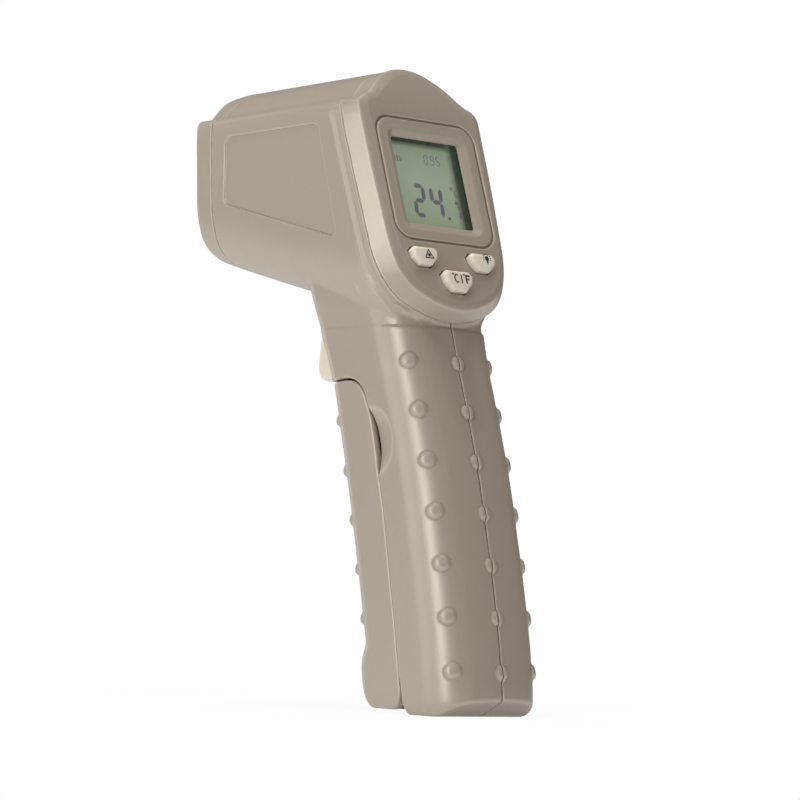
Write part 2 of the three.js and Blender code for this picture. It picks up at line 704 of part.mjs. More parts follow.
// ---------------------------------------------------------------- sensor and laser
// Profiles are radius, distance behind the piece's front end.
const SENSOR_TUBE = [
  [4.1, 0], [7.1, 0], [7.1, 9.5], [7.5, 9.5], [7.5, 21.5], [4.9, 21.5], [4.9, 19.5],
  [4.1, 17.5], [4.1, 0],
];
const LENS = [[0, -0.5], [2.5, -0.25], [5.2, 0], [5.2, 0.9], [2.5, 1.1], [0, 1.2]];
const LENS_RING = [[5.5, 0], [6.9, 0], [6.9, 1.6], [5.5, 1.6], [5.5, 0]];
const THERMOPILE = [[0, 0], [3.6, 0], [3.6, 2.6], [4.5, 2.6], [4.5, 3.2], [0, 3.2]];
const LASER_MODULE = [
  [0, 0.8], [1.2, 0.8], [1.2, 0], [3.0, 0], [3.0, 2.4], [3.9, 2.4], [3.9, 12.5], [0, 12.5],
];
const sensorTube = () => turnedY(SENSOR_TUBE, 20, -62.5, 0);
const lens = () => turnedY(LENS, 18, -64.0, 0);
const lensRing = () => turnedY(LENS_RING, 20, -64.4, 0);
const thermopile = () => turnedY(THERMOPILE, 18, -44.6, 0);
const sensorBoard = () => barY([-40.7, -39.3], 0, 8.2, 20);
const laserModule = () => turnedY(LASER_MODULE, 16, -63.6, LASER_Z);

// ---------------------------------------------------------------- trigger
// Side outlines: y, z.
const TRIGGER_OUTLINE = [
  [-33.7, -24.6], [-34.1, -26.6], [-34.3, -31], [-34.4, -34], [-34.7, -37.7],
  [-35.1, -41.4], [-35.2, -43.3], [-34.7, -45.2], [-33.4, -46.5], [-31.4, -46.95],
  [-22.6, -46.95], [-24.4, -40], [-26.6, -33], [-27.2, -27], [-27.4, -19.9], [-33.2, -19.9],
];
const TRIGGER_HOLLOW = [
  [-32.1, -25.5], [-32.4, -31], [-32.8, -37], [-33.2, -43.6], [-32.5, -45.0],
  [-20, -45.3], [-20, -18], [-31.6, -18],
];
// Rebate along the long edges of the finger face.
const TRIGGER_REBATE = [
  [-38.5, -18], [-33.1, -24.0], [-33.4, -31], [-34.2, -43.3], [-32.9, -45.9],
  [-28.5, -48], [-40, -48],
];
function trigger() {
  const shoe = cut(
    crossPlate(TRIGGER_OUTLINE, [-6.2, 6.2]),
    crossPlate(TRIGGER_HOLLOW, [-4.6, 4.6]),
    barX([-9, 9], TRIGGER_PIVOT, 1.6, 12),
    [-1, 1].map((side) => crossPlate(TRIGGER_REBATE, sideRange(side, 5.6, 9))),
  );
  return union(
    shoe,
    block([-1.6, 1.6], [-33.2, -23.2], around(SWITCH_Z, 1.1)), // pusher for the switch
    barY([-33.3, -31.0], TRIGGER_SPRING_Z, 1.5, 10), // seat of the spring
  );
}
const triggerPin = () => barX([-11.2, 11.2], TRIGGER_PIVOT, 1.2, 12);
const triggerSpring = () =>
  coil([0, -32.2, TRIGGER_SPRING_Z], [0, -16.5, TRIGGER_SPRING_Z], 2.5, 0.35, 6.5);
const triggerBoard = () => block([-7, 7], [-16.2, -14.8], [-45.2, -29.0]);
const triggerSwitch = () =>
  union(
    block([-3, 3], [-18.6, -16.4], around(SWITCH_Z, 3)),
    barY([-20.4, -18.5], SWITCH_Z, 1.6, 10),
  );

// ---------------------------------------------------------------- batteries and their tray
function batteryTray() {
  const tray = cut(
    batteryBlock([-12.3, 12.3], [-2.6, 7.6], [-28.2, 28.2]),
    batteryBlock([-11.3, 11.3], [-8, 6.4], [-27.0, 27.0]),
    [-1, 1].map((side) => batteryBlock(sideRange(side, 8.2, 9.6), [2, 9], [20, 26])),
  );
  const insideGrip = cut(
    grip(WALL + FIT, GRIP_ABOVE_BASE),
    block([-30, 30], [-60, 60], [-200, -118]),
  );
  return tray.intersect(union(insideGrip, block([-12.5, 12.5], [-40, 9], [-118, -50])));
}

// Battery on side +1 has its button end up, on side -1 down.
function battery(side) {
  const radius = BATTERY_RADIUS;
  const end = BATTERY_LENGTH / 2;
  const profile = [
    [0, -end], [radius - 0.6, -end], [radius, -end + 0.5], [radius, end - 1.6],
    [radius - 0.7, end - 1.0], [2.1, end - 1.0], [2.1, end], [0, end],
  ];
  const shift = new THREE.Matrix4().makeTranslation(side * BATTERY_X, 0, side * BATTERY_SHIFT);
  const turn = new THREE.Matrix4().makeRotationX(radians(side * 90));
  return turned(profile, 20, BATTERY.clone().multiply(shift).multiply(turn));
}
const contactPlateTop = () => batteryBlock([1.4, 9.7], [-4, 4], [26.15, 26.7]);
const contactPlateBottom = () => batteryBlock([-9.7, 9.7], [-4, 4], [-26.7, -26.15]);
const contactSpring = (side, from, to, turns) =>
  coil(
    batteryPoint(side * BATTERY_X, 0, from),
    batteryPoint(side * BATTERY_X, 0, to),
    3.0,
    0.35,
    turns,
  );

// ---------------------------------------------------------------- battery door
const DOOR_BUMPS_Z = [-57.0, -68.9, -80.5, -92.0, -103.5];

// y of the grip's front line at height z.
function gripFrontY(z) {
  const below = GRIP.findIndex(([stationZ]) => stationZ <= z);
  const [z0, y0] = GRIP[below - 1];
  const [z1, y1] = GRIP[below];
  return y0 + ((y1 - y0) * (z0 - z)) / (z0 - z1);
}
function doorBump(side, z) {
  const outward = [side * 0.5, -0.84, 0.2];
  const center = [side * 12.4, gripFrontY(z) + 0.9, z];
  const along = (distance) => center.map((c, i) => c + outward[i] * distance);
  return bar(along(-1.0), along(0.65), 1.6, 8, 1.1);
}
function hingeEar(side) {
  const [y] = DOOR_PIVOT;
  const outline = [...arc(DOOR_PIVOT, 2.6, 180, 0, 6), [y + 1.9, -123.5], [y - 4, -123.5]];
  return crossPlate(outline, sideRange(side, 7.9, 9.9));
}
// Clears the shell's hinge arm.
const armClearance = (side) => block(sideRange(side, 10.1, 12.5), [5.2, 16], [-126, -117.8]);

function batteryDoor() {
  const skin = cut(grip(0), grip(1.8, GRIP_ABOVE_BASE), baseChamfer());
  const hinged = cut(
    union(skin.intersect(crossPlate(DOOR_LOOP, [-30, 30])), union(hingeEar(-1), hingeEar(1))),
    barX([-12, 12], DOOR_PIVOT, HINGE_BORE, 10),
    armClearance(-1),
    armClearance(1),
  );
  return union(hinged, union(DOOR_BUMPS_Z.flatMap((z) => [doorBump(-1, z), doorBump(1, z)])));
}
const doorHingePin = () => barX([-11.7, 11.7], DOOR_PIVOT, 0.8, 10);

// ---------------------------------------------------------------- screws and wires
const shellScrew = (place) =>
  union(barX([-14.0, 11.2], place, 1.05, 8), barX([-15.0, -13.5], place, 2.6, 12));

// From the top of the tray up to the lower part of the main board.
const batteryWire = (side) =>
  wire([
    batteryPoint(side * 4.0, 8.2, 28.6),
    [side * 5.5, 3.5, -54],
    [side * 6.5, 2.5, -42],
    [side * 6, -4.0, -31],
    panelPoint(side * 6, -27.0, -11.3),
    panelPoint(side * 6, -25.2, -9.9),
  ]);
const triggerWire = () =>
  wire([
    [0, -14.3, -31], [0, -10.5, -30.5], [0, -8, -28],
    panelPoint(0, -24, -12.5), panelPoint(0, -22.8, -9.95),
  ]);
const laserWire = () =>
  wire([
    [0, -50.6, LASER_Z], [0, -44, 14.5], [1, -32, 12.5], [2, -23, 10.5],
    panelPoint(3, 10, -14), panelPoint(3, 10, -10.0),
  ]);
function sensorCable() {
  const points = [
    [0, -38.8, -1], [0, -33, -2], [-1, -24, -1], [-2, -16, 0],
    panelPoint(-3, -9.5, -14.5), panelPoint(-3, -9.5, -10.0),
  ];
  return wire(points, 0.8);
}

// ---------------------------------------------------------------- materials
const FINISH = {
  taupe: { color: 0xa89f92, roughness: 0.45 },
  cream: { color: 0xe0d8c8, roughness: 0.5 },
  steel: { color: 0xb8b8b6, roughness: 0.3, metalness: 1 },
  brass: { color: 0xc2a565, roughness: 0.35, metalness: 1 },
  board: { color: 0x2f6a43, roughness: 0.5 },
  black: { color: 0x26262a, roughness: 0.5 },
  display_window: { color: 0xe8eeea, roughness: 0.05 },
  lcd_panel: { color: 0x7f9c7f, roughness: 0.15 },
  backlight_diffuser: { color: 0xf0f2ee, roughness: 0.5 },
  zebra_connector: { color: 0xd98a9a, roughness: 0.8 },
  lens: { color: 0x8a3a30, roughness: 0.1 },
  battery: { color: 0x3a5a86, roughness: 0.35, metalness: 0.3 },
  redWire: { color: 0xb23028, roughness: 0.6 },
  blackWire: { color: 0x222222, roughness: 0.6 },
  whiteWire: { color: 0xd8d8d4, roughness: 0.6 },
  greyWire: { color: 0x8c8c8a, roughness: 0.6 },
};

// ---------------------------------------------------------------- the assembly
const root = new THREE.Group();
root.name = "infrared_thermometer";
const workingFrame = new THREE.Group();
workingFrame.position.set(0, ORIGIN_Y, ORIGIN_Z);
root.add(workingFrame);

function add(name, piece, finish) {
  const { vertProperties, triVerts } = piece.getMesh();
  const geometry = new THREE.BufferGeometry();
  const positions = new THREE.BufferAttribute(new Float32Array(vertProperties), 3);
  geometry.setAttribute("position", positions);
  geometry.setIndex(new THREE.BufferAttribute(new Uint32Array(triVerts), 1));
  geometry.computeVertexNormals();
  const mesh = new THREE.Mesh(geometry, new THREE.MeshStandardMaterial(finish));
  mesh.name = name;
  workingFrame.add(mesh);
}

const shells = shellBody();
add("left_shell", shellHalf(shells, 1), FINISH.taupe);
add("right_shell", shellHalf(shells, -1), FINISH.taupe);
add("nose_cap", noseCap(), FINISH.taupe);
add("rear_bezel", bezel(), FINISH.taupe);
for (const [name, ranges] of Object.entries(DISPLAY_LAYERS)) {
  add(name, panelBlock(...ranges), FINISH[name]);
}
add("main_board", mainBoard(), FINISH.board);
add("processor_chip", processor(), FINISH.black);
BOARD_SCREWS.forEach((place, i) => add(`board_screw_${i + 1}`, boardScrew(place), FINISH.steel));
for (const [name, design] of Object.entries(BUTTONS)) {
  add(`${name}_button`, button(design), FINISH.cream);
  add(`${name}_switch`, buttonSwitch(design), FINISH.black);
}
add("sensor_tube", sensorTube(), FINISH.brass);
add("infrared_lens", lens(), FINISH.lens);
add("lens_ring", lensRing(), FINISH.black);
add("thermopile_sensor", thermopile(), FINISH.steel);
add("sensor_board", sensorBoard(), FINISH.board);
add("laser_module", laserModule(), FINISH.brass);
add("trigger", trigger(), FINISH.cream);
add("trigger_pin", triggerPin(), FINISH.steel);
add("trigger_spring", triggerSpring(), FINISH.steel);
add("trigger_board", triggerBoard(), FINISH.board);
add("trigger_switch", triggerSwitch(), FINISH.black);
add("battery_tray", batteryTray(), FINISH.black);
add("battery_1", battery(1), FINISH.battery);
add("battery_2", battery(-1), FINISH.battery);
add("contact_plate_top", contactPlateTop(), FINISH.steel);
add("contact_plate_bottom", contactPlateBottom(), FINISH.steel);
add("contact_spring_top", contactSpring(-1, 26.7, 21.35, 3.6), FINISH.steel);
add("contact_spring_bottom", contactSpring(1, -25.85, -21.35, 3.4), FINISH.steel);
add("battery_door", batteryDoor(), FINISH.taupe);
add("door_hinge_pin", doorHingePin(), FINISH.steel);
SHELL_SCREWS.forEach((place, i) => add(`shell_screw_${i + 1}`, shellScrew(place), FINISH.steel));
add("battery_wire_red", batteryWire(-1), FINISH.redWire);
add("battery_wire_black", batteryWire(1), FINISH.blackWire);
add("trigger_wire", triggerWire(), FINISH.whiteWire);
add("laser_wire", laserWire(), FINISH.redWire);
add("sensor_cable", sensorCable(), FINISH.greyWire);

export default root;
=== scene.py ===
"""Looks of a pistol-grip infrared thermometer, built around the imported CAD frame.

It stands on the foot of its handle: +X is the user's left, the nose points along -Y, +Z is up.
Lengths are millimetres in a working frame with its origin on the rear panel's plane, over the
middle of the display window. Meshes are written in metres in the frame's own axes.
The rear panel leans by TILT. On it points are (x, up, out): up along the panel, out along its
normal. Solids are signed distance fields, below 0 inside, meshed on a voxel grid.
"""
import math
from concurrent.futures import ThreadPoolExecutor
from functools import cached_property, reduce
from typing import Callable, NamedTuple

import bmesh
import bpy
import numpy as np
import openvdb
from mathutils import Vector, Matrix


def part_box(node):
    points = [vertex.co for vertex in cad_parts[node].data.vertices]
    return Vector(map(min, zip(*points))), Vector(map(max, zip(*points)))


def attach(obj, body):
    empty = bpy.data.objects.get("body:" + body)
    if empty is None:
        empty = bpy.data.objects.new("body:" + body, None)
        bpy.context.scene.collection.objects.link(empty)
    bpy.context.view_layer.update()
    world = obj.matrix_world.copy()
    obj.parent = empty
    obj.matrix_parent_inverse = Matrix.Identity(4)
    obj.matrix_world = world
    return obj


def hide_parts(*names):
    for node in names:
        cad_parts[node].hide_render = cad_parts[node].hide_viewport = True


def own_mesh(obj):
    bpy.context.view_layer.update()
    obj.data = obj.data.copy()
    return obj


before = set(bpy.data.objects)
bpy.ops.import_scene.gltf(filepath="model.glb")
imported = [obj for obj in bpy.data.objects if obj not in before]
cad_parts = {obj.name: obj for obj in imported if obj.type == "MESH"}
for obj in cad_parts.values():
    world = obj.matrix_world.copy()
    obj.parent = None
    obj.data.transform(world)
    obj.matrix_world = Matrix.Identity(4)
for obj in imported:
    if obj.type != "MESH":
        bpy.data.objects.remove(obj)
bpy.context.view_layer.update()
COARSEN = 1.0  # voxel multiplier

# ---------------------------------------------------------------- dimensions
TILT = math.radians(19.89)
SIN_TILT, COS_TILT = math.sin(TILT), math.cos(TILT)
PANE_DEPTH = 2.0  # the middle of the window pane lies this far under the panel plane
pane_low, pane_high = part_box("display_window")
ORIGIN = np.array([
    (pane_low[0] + pane_high[0]) * 500.0,
    (pane_low[1] + pane_high[1]) * 500.0 + PANE_DEPTH * COS_TILT,
    (pane_low[2] + pane_high[2]) * 500.0 + PANE_DEPTH * SIN_TILT,
])

SEAM_GAP = 0.15  # from the middle plane to each shell
WALL = 2.0
BARREL_OUT = 8.8  # the barrel stops this far under the panel plane
NOSE_Y, NOSE_LEAN, NOSE_LENGTH = -61.14, -0.0737, 7.3  # joint between barrel and nose cap
NOSE_SLOPE = 0.997  # cosine of the joint's lean
SENSOR_AXIS = (0, 0)  # (x, z) of the bores that run along y
LASER_AXIS = (0, 13.5)
DOOR_PIVOT = (7.3, -120.0)  # (y, z) of the pins that run along x
TRIGGER_PIVOT = (-30.5, -22.5)
SPRING_Z = -41.2
HINGE_BORE = 1.1
SHELL_SCREWS = [(-51.5, -12.5), (-13.5, -24.5), (8.2, -78.0), (16.4, -117.2)]  # (y, z)
BOARD_SCREWS = [(13.2, 17.6), (-13.2, 17.6), (9.9, -26.2), (-9.9, -26.2)]  # (x, up)
BUTTONS = {  # (x, up) of the middle
    "laser_button": (8.85, -20.5),
    "backlight_button": (-8.85, -20.5),
    "unit_button": (0.0, -26.1),
}
BUTTON_TOP = 1.7
WINDOW_HALF = (10.2, 11.2)  # display opening, half width and half height
LCD_FACE = -2.65

# Half sections of the barrel, (x, z) from the top middle to the bottom middle.
SECTION_TOP = [
    (0, 27.8), (4, 27.3), (7.75, 25.95), (10, 24.95), (11.8, 23.95), (13.4, 22.6),
    (15, 20.9), (16.1, 19.6), (17.3, 18.75), (19.6, 18.4), (20.5, 17.6)]
NOSE_SECTION = SECTION_TOP + [
    (20.9, 15.5), (21, 4.3), (20.85, -5.2), (20.07, -9.9), (19.17, -12.6), (17.2, -15.5),
    (14.9, -17.2), (12.45, -18.2), (6, -19.3), (0, -20.0)]
REAR_SECTION = SECTION_TOP + [
    (20.95, 15.5), (20.85, 0), (20.4, -14.5), (19.9, -21), (18.6, -25.4), (16.5, -29),
    (14.7, -31), (12.85, -32.5), (7, -34.2), (0, -35.0)]
# Half outlines of the bezel, (x, up): where it meets the shells, and at its face.
BEZEL_SEAM = [
    (0, 31.2), (4, 30.7), (7.75, 29.25), (10, 28.2), (11.8, 27.1), (13.4, 25.7),
    (15, 23.85), (16.1, 22.45), (17.3, 21.55), (19.6, 21.2), (20.5, 20.3), (21, 18.1),
    (21.1, 5), (20.75, -5.75), (20.55, -12.4), (20.2, -19), (18.5, -24.6), (14.9, -29.6),
    (9.04, -32.8), (4, -34.3), (0, -34.8)]
BEZEL_FRONT = [
    (0, 30.3), (3.8, 29.7), (7.2, 27.7), (10.3, 25.2), (13.3, 22.5), (15.2, 21.4),
    (16.9, 20.7), (17.8, 19.4), (17.9, 12), (17.85, 5), (17.4, -8), (16.6, -19),
    (15.2, -24.2), (12, -28.4), (7, -31.2), (3.5, -32.3), (0, -32.7)]
# Handle stations from top to bottom: z, y of the front, y of the rear, half width.
GRIP = [
    (-14, -30.2, 0.5, 17.4), (-22, -29.5, 3.0, 17.0), (-29, -27.6, 6.0, 16.3),
    (-36, -25.0, 8.1, 15.6), (-43.3, -22.0, 10.3, 15.3), (-50, -19.6, 12.7, 15.2),
    (-59.3, -17.0, 15.9, 15.2), (-71.6, -13.6, 19.75, 15.2), (-83.55, -10.55, 22.8, 15.2),
    (-96.1, -7.6, 25.85, 15.2), (-105.5, -5.5, 27.8, 15.2), (-109.7, -4.7, 28.6, 15.2),
    (-112.4, -5.6, 29.0, 15.2), (-114.5, -5.95, 29.35, 15.2), (-119.5, -5.2, 30.0, 15.1),
    (-122.3, -4.2, 30.2, 14.9), (-124.2, -2.9, 30.2, 14.2), (-126.0, -0.9, 30.1, 13.0)]
# Side outlines, (y, z).
DOOR_SEAM = [
    (-17.2, -48.35), (-14.2, -47.97), (-11.5, -47.82), (-8.8, -48.37), (-6.5, -49.86),
    (-4.9, -52.0), (-3.6, -54.6), (-2.3, -57.5), (-0.95, -62.2), (0, -65.7), (0.6, -68.7),
    (2.8, -76.2), (4.8, -85.4), (6.7, -94.6), (8.7, -103.7), (10.2, -111.7), (11.1, -116.8)]
SIDE_PANEL = [  # drawn in by its corner radius
    (-54.2, 11.9), (-21.1, 11.9), (-20.2, 11.5), (-13.3, -12.4), (-13.6, -12.6),
    (-54.2, -2.4), (-54.7, -1.6), (-55.0, 11.4)]
TRIGGER_FRONT = [
    (-33.7, -24.6), (-34.1, -26.6), (-34.3, -31), (-34.4, -34), (-34.7, -37.7),
    (-35.1, -41.4), (-35.2, -43.3), (-34.7, -45.2), (-33.4, -46.5), (-31.4, -46.95)]
TRIGGER_BACK = [
    (-22.6, -46.95), (-24.4, -40), (-26.6, -33), (-27.2, -27), (-27.4, -19.9), (-33.2, -19.9)]
# Rows of studs: (y, z) up the handle's rear, z up the battery door.
SHELL_STUDS = [
    (7.4, -43.58), (11.59, -55.09), (15.33, -66.7), (18.69, -78.47), (21.68, -90.31),
    (24.31, -102.32), (26.75, -114.55)]
DOOR_STUDS = [-57.0, -68.9, -80.5, -92.0, -103.5]
# Button outline, (x, up) from its middle.
BUTTON_OUTLINE = [
    (-3.95, 1.15), (-2.9, 2.15), (2.9, 2.15), (3.95, 1.15),
    (3.55, -0.55), (1.75, -2.3), (-1.75, -2.3), (-3.55, -0.55)]


# ---------------------------------------------------------------- coordinates
def panel_turn(first, second):
    """(up, out) on the panel into (y, z); the same turn takes (y, z) back to (up, out)."""
    return -first * SIN_TILT + second * COS_TILT, first * COS_TILT + second * SIN_TILT


def on_panel(x, up, out):
    return (x, *panel_turn(up, out))


def turn_rows(points):
    """panel_turn for an array with one point or direction in each row."""
    return np.stack([points[:, 0], *panel_turn(points[:, 1], points[:, 2])], 1)


def to_frame(points):
    """Working millimetres to the frame's metres."""
    return (np.asarray(points, float) + ORIGIN) / 1000.0


def axes_along(start, toward, hint=(1, 0, 0)):
    """Rotation whose third axis runs from start toward a point, the first near the hint."""
    axis = np.array(toward, float) - np.array(start, float)
    axis /= np.linalg.norm(axis)
    first = np.array(hint, float)
    first -= axis * (first @ axis)
    if np.linalg.norm(first) < 1e-3:
        first = np.array((0, 1, 0), float)
        first -= axis * (first @ axis)
    first /= np.linalg.norm(first)
    return np.stack([first, np.cross(axis, first), axis], 1)


# ---------------------------------------------------------------- outlines
def spline(points, steps=6, closed=True):
    """Centripetal Catmull-Rom curve through points."""
    points = np.array(points, float)
    if closed:
        ring = np.concatenate([points[-1:], points, points[:2]])
    else:
        before = 2 * points[:1] - points[1:2]
        after = 2 * points[-1:] - points[-2:-1]
        ring = np.concatenate([before, points, after])

    def between(start, end, start_knot, end_knot, knot):
        gap = end_knot - start_knot
        return (end_knot - knot) / gap * start + (knot - start_knot) / gap * end

    curve = []
    for i in range(len(ring) - 3):
        level = ring[i:i + 4]
        knots = [0.0]
        for j in range(3):
            knots.append(knots[-1] + max(np.linalg.norm(level[j + 1] - level[j]), 1e-6) ** 0.5)
        for knot in np.linspace(knots[1], knots[2], steps, endpoint=False):
            lines = [between(level[j], level[j + 1], knots[j], knots[j + 1], knot)
                     for j in range(3)]
            bends = [between(lines[j], lines[j + 1], knots[j], knots[j + 2], knot)
                     for j in range(2)]
            curve.append(between(*bends, knots[1], knots[2], knot))
    if not closed:
        curve.append(points[-1])
    return np.array(curve)


def mirrored(half):
    return list(half) + [(-x, z) for x, z in half[-2:0:-1]]


def oval(centre, half_width, half_height, angles):
    """Points of an oval at the given angles."""
    return [(centre[0] + half_width * math.cos(a), centre[1] + half_height * math.sin(a))
            for a in angles]


def full_turn(count):
    return np.linspace(0, 2 * math.pi, count, endpoint=False)


def outline_distance(loop, a, b):
    """Signed distance from points (a, b) to a closed outline."""
    nearest = np.full(a.shape, 1e9)
    inside = np.zeros(a.shape, bool)
    for i in range(len(loop)):
        start, end = loop[i], loop[i - 1]
        edge_a, edge_b = end[0] - start[0], end[1] - start[1]
        from_a, from_b = a - start[0], b - start[1]
        length2 = max(edge_a * edge_a + edge_b * edge_b, 1e-12)
        along = np.clip((from_a * edge_a + from_b * edge_b) / length2, 0, 1)
        gap_a, gap_b = from_a - edge_a * along, from_b - edge_b * along
        np.minimum(nearest, gap_a * gap_a + gap_b * gap_b, out=nearest)
        above, below = b >= start[1], b < end[1]
        left = edge_a * from_b > edge_b * from_a
        inside ^= (above & below & left) | (~above & ~below & ~left)
    return np.sqrt(nearest) * np.where(inside, -1, 1)


class Plan:
    """Signed distance to one outline, or to a row of outlines along t in 0..1, on a fine grid."""

    def __init__(self, loops, step=0.15, pad=3.0, half=False):
        loops = [np.array(loop, float) for loop in loops]
        corners = np.concatenate(loops)
        low, high = corners.min(0) - pad, corners.max(0) + pad
        if half:
            low[0] = -2 * step
        size = np.ceil((high - low) / step).astype(int) + 2
        a, b = np.meshgrid(low[0] + step * np.arange(size[0]),
                           low[1] + step * np.arange(size[1]), indexing="ij")
        layers = [outline_distance(loop, a.ravel(), b.ravel()) for loop in loops]
        self.table = np.stack(layers).astype(np.float32).ravel()
        self.low, self.step, self.size, self.layers = low, step, size, len(loops)

    def _read(self, cell, part_a, part_b):
        """Bilinear value in a grid cell."""
        table, line = self.table, int(self.size[1])
        near, far = table.take(cell), table.take(cell + line)
        near_up, far_up = table.take(cell + 1), table.take(cell + line + 1)
        lower = near + (far - near) * part_a
        return lower + (near_up + (far_up - near_up) * part_a - lower) * part_b

    def __call__(self, a, b, t=None):
        grid_a, grid_b = (a - self.low[0]) / self.step, (b - self.low[1]) / self.step
        held_a = np.clip(grid_a, 0, self.size[0] - 1.001)
        held_b = np.clip(grid_b, 0, self.size[1] - 1.001)
        i, j = held_a.astype(np.int32), held_b.astype(np.int32)
        part_a, part_b = (held_a - i).astype(np.float32), (held_b - j).astype(np.float32)
        cell = i * int(self.size[1]) + j
        if self.layers == 1:
            value = self._read(cell, part_a, part_b)
        else:
            place = np.clip(t, 0, 1) * (self.layers - 1)
            layer = np.minimum(place.astype(np.int32), self.layers - 2)
            part = (place - layer).astype(np.float32)
            count = int(self.size[0] * self.size[1])
            value = self._read(cell + layer * count, part_a, part_b)
            following = self._read(cell + (layer + 1) * count, part_a, part_b)
            value = value + (following - value) * part
        # outside the grid the distance keeps growing
        return value + (self.step * 0.7) * (np.abs(grid_a - held_a) + np.abs(grid_b - held_b))


def door_curve(grow):
    """Rear edge of the door, moved out by grow."""
    moved = [(y + (0 if i < 3 else grow * 0.95), z + (grow if i < 6 else grow * 0.25))
             for i, (y, z) in enumerate(DOOR_SEAM)]
    return [tuple(point) for point in spline(moved, 4, False)]


hinge_round = oval(DOOR_PIVOT, 4.25, 4.25, [math.radians(a) for a in np.linspace(25, -90, 14)])
door_outline = [(-34, -48.35)] + door_curve(0) + hinge_round + [(-4, -124.25), (-34, -124.25)]
door_opening = [(-34, -48.05)] + door_curve(0.3)
door_opening += [(12.05, -119.0), (12.35, -122.5), (13.9, -127.5), (-34, -127.5)]
trigger_outline = [tuple(point) for point in spline(TRIGGER_FRONT, 4, False)] + TRIGGER_BACK
nose_loop = spline(mirrored(NOSE_SECTION))
rear_loop = spline(mirrored(REAR_SECTION))
OUTLINES = {  # loops, grid step, margin, half only
    "barrel": ([nose_loop * (1 - t) + rear_loop * t for t in np.linspace(0, 1, 7)],
               0.25, 4.0, True),
    "nose": ([nose_loop], 0.15, 4.0, True),
    "seam": ([spline(mirrored(BEZEL_SEAM))], 0.15, 4.0, True),
    "front": ([spline(mirrored(BEZEL_FRONT))], 0.15, 5.0, True),
    "door": ([door_outline], 0.15, 3.0),
    "opening": ([door_opening], 0.15, 3.0),
    "side_panel": ([SIDE_PANEL], 0.15, 4.5),
    "trigger": ([trigger_outline], 0.12, 3.0),
    "button": ([BUTTON_OUTLINE], 0.05, 2.0),
    "unit_button": ([[(x * 1.13, up * 1.16) for x, up in BUTTON_OUTLINE]], 0.05, 2.0),
}
with ThreadPoolExecutor(4) as pool:
    PLAN = dict(zip(OUTLINES, pool.map(lambda spec: Plan(*spec), OUTLINES.values())))


# ---------------------------------------------------------------- distance fields
def meet(*fields):
    """What all the solids share."""
    return reduce(np.maximum, fields)


def join(*fields):
    return reduce(np.minimum, fields)


def cut(solid, tool):
    return np.maximum(solid, -tool)


def soft_meet(a, b, radius):
    """meet with the new edge rounded."""
    over_a, over_b = np.maximum(a + radius, 0), np.maximum(b + radius, 0)
    return np.minimum(np.maximum(a, b), -radius) + np.sqrt(over_a * over_a + over_b * over_b)


def soft_join(a, b, radius):
    """join with the new corner filled."""
    return -soft_meet(-a, -b, radius)


def soft_cut(solid, tool, radius):
    return soft_meet(solid, -tool, radius)


def span(value, low, high):
    return np.maximum(low - value, value - high)


def box(x, y, z, x_range, y_range, z_range):
    return meet(span(x, *x_range), span(y, *y_range), span(z, *z_range))


def rod(a, b, centre, radius):
    """Endless rod across the plane of a and b."""
    return np.hypot(a - centre[0], b - centre[1]) - radius


def round_box(a, b, half_a, half_b, radius):
    over_a, over_b = np.abs(a) - (half_a - radius), np.abs(b) - (half_b - radius)
    outside = np.hypot(np.maximum(over_a, 0), np.maximum(over_b, 0))
    return outside + np.minimum(np.maximum(over_a, over_b), 0) - radius


def stud(x, y, z, top, direction, height, base_radius, top_radius, fillet=0.5):
    """Low round stud, placed by its top centre and outward direction."""
    direction = np.array(direction, float)
    direction /= np.linalg.norm(direction)
    dx, dy, dz = x - top[0], y - top[1], z - top[2]
    along = dx * direction[0] + dy * direction[1] + dz * direction[2]
    radius = np.sqrt(np.maximum(dx * dx + dy * dy + dz * dz - along * along, 0))
    slope = (base_radius - top_radius) / height
    side = (radius - (top_radius - along * slope)) / math.hypot(1, slope)
    domed = soft_meet(side, along + 0.05 * radius * radius, fillet)
    return np.maximum(domed, -along - height - 1.2)


def add_studs(solid, across, y, z, stations, fillet):
    """Joins studs to a solid; stations are pairs of height and stud descriptions."""
    studs = np.full(across.shape, 1e3)
    for level, specs in stations:
        near = np.abs(z - level) < 5
        if near.any():
            place = across[near], y[near], z[near]
            studs[near] = join(*(stud(*place, *spec) for spec in specs))
    return soft_join(solid, studs, fillet)


# ---------------------------------------------------------------- handle
grip_rows = spline(GRIP[::-1], 8, False)
grip_rows = grip_rows[np.argsort(grip_rows[:, 0])]


def grip(across, y, z):
    """Handle: crowned rear, big rear corners, smaller front corners."""
    front_y, rear_y, half_width = (np.interp(z, grip_rows[:, 0], grip_rows[:, i])
                                   for i in (1, 2, 3))
    side = across - half_width
    rear = (y - rear_y + 0.0115 * across ** 2) * 0.965
    front = (front_y - y) * 0.975
    return np.maximum(soft_meet(rear, side, 7.4), soft_meet(front, side, 5.2))


def foot_facet(y, z):
    """Sloping plane that trims the foot of the handle."""
    return ((y - 22.6) * 4.7 - (z + 125.3) * 8.9) / math.hypot(4.7, 8.9)


def stud_on_grip(point, direction, lift, *sizes):
    """Description of a stud whose top stands lift above the handle, along direction."""
    unit = np.array(direction, float)
    unit /= np.linalg.norm(unit)
    reach = np.linspace(-4, 4, 401)
    line = np.array(point, float)[:, None] + unit[:, None] * reach
    first = int(np.argmax(grip(np.abs(line[0]), line[1], line[2]) > 0))
    top = tuple(np.array(point) + unit * (reach[first] + lift))
    return (top, direction, *sizes)


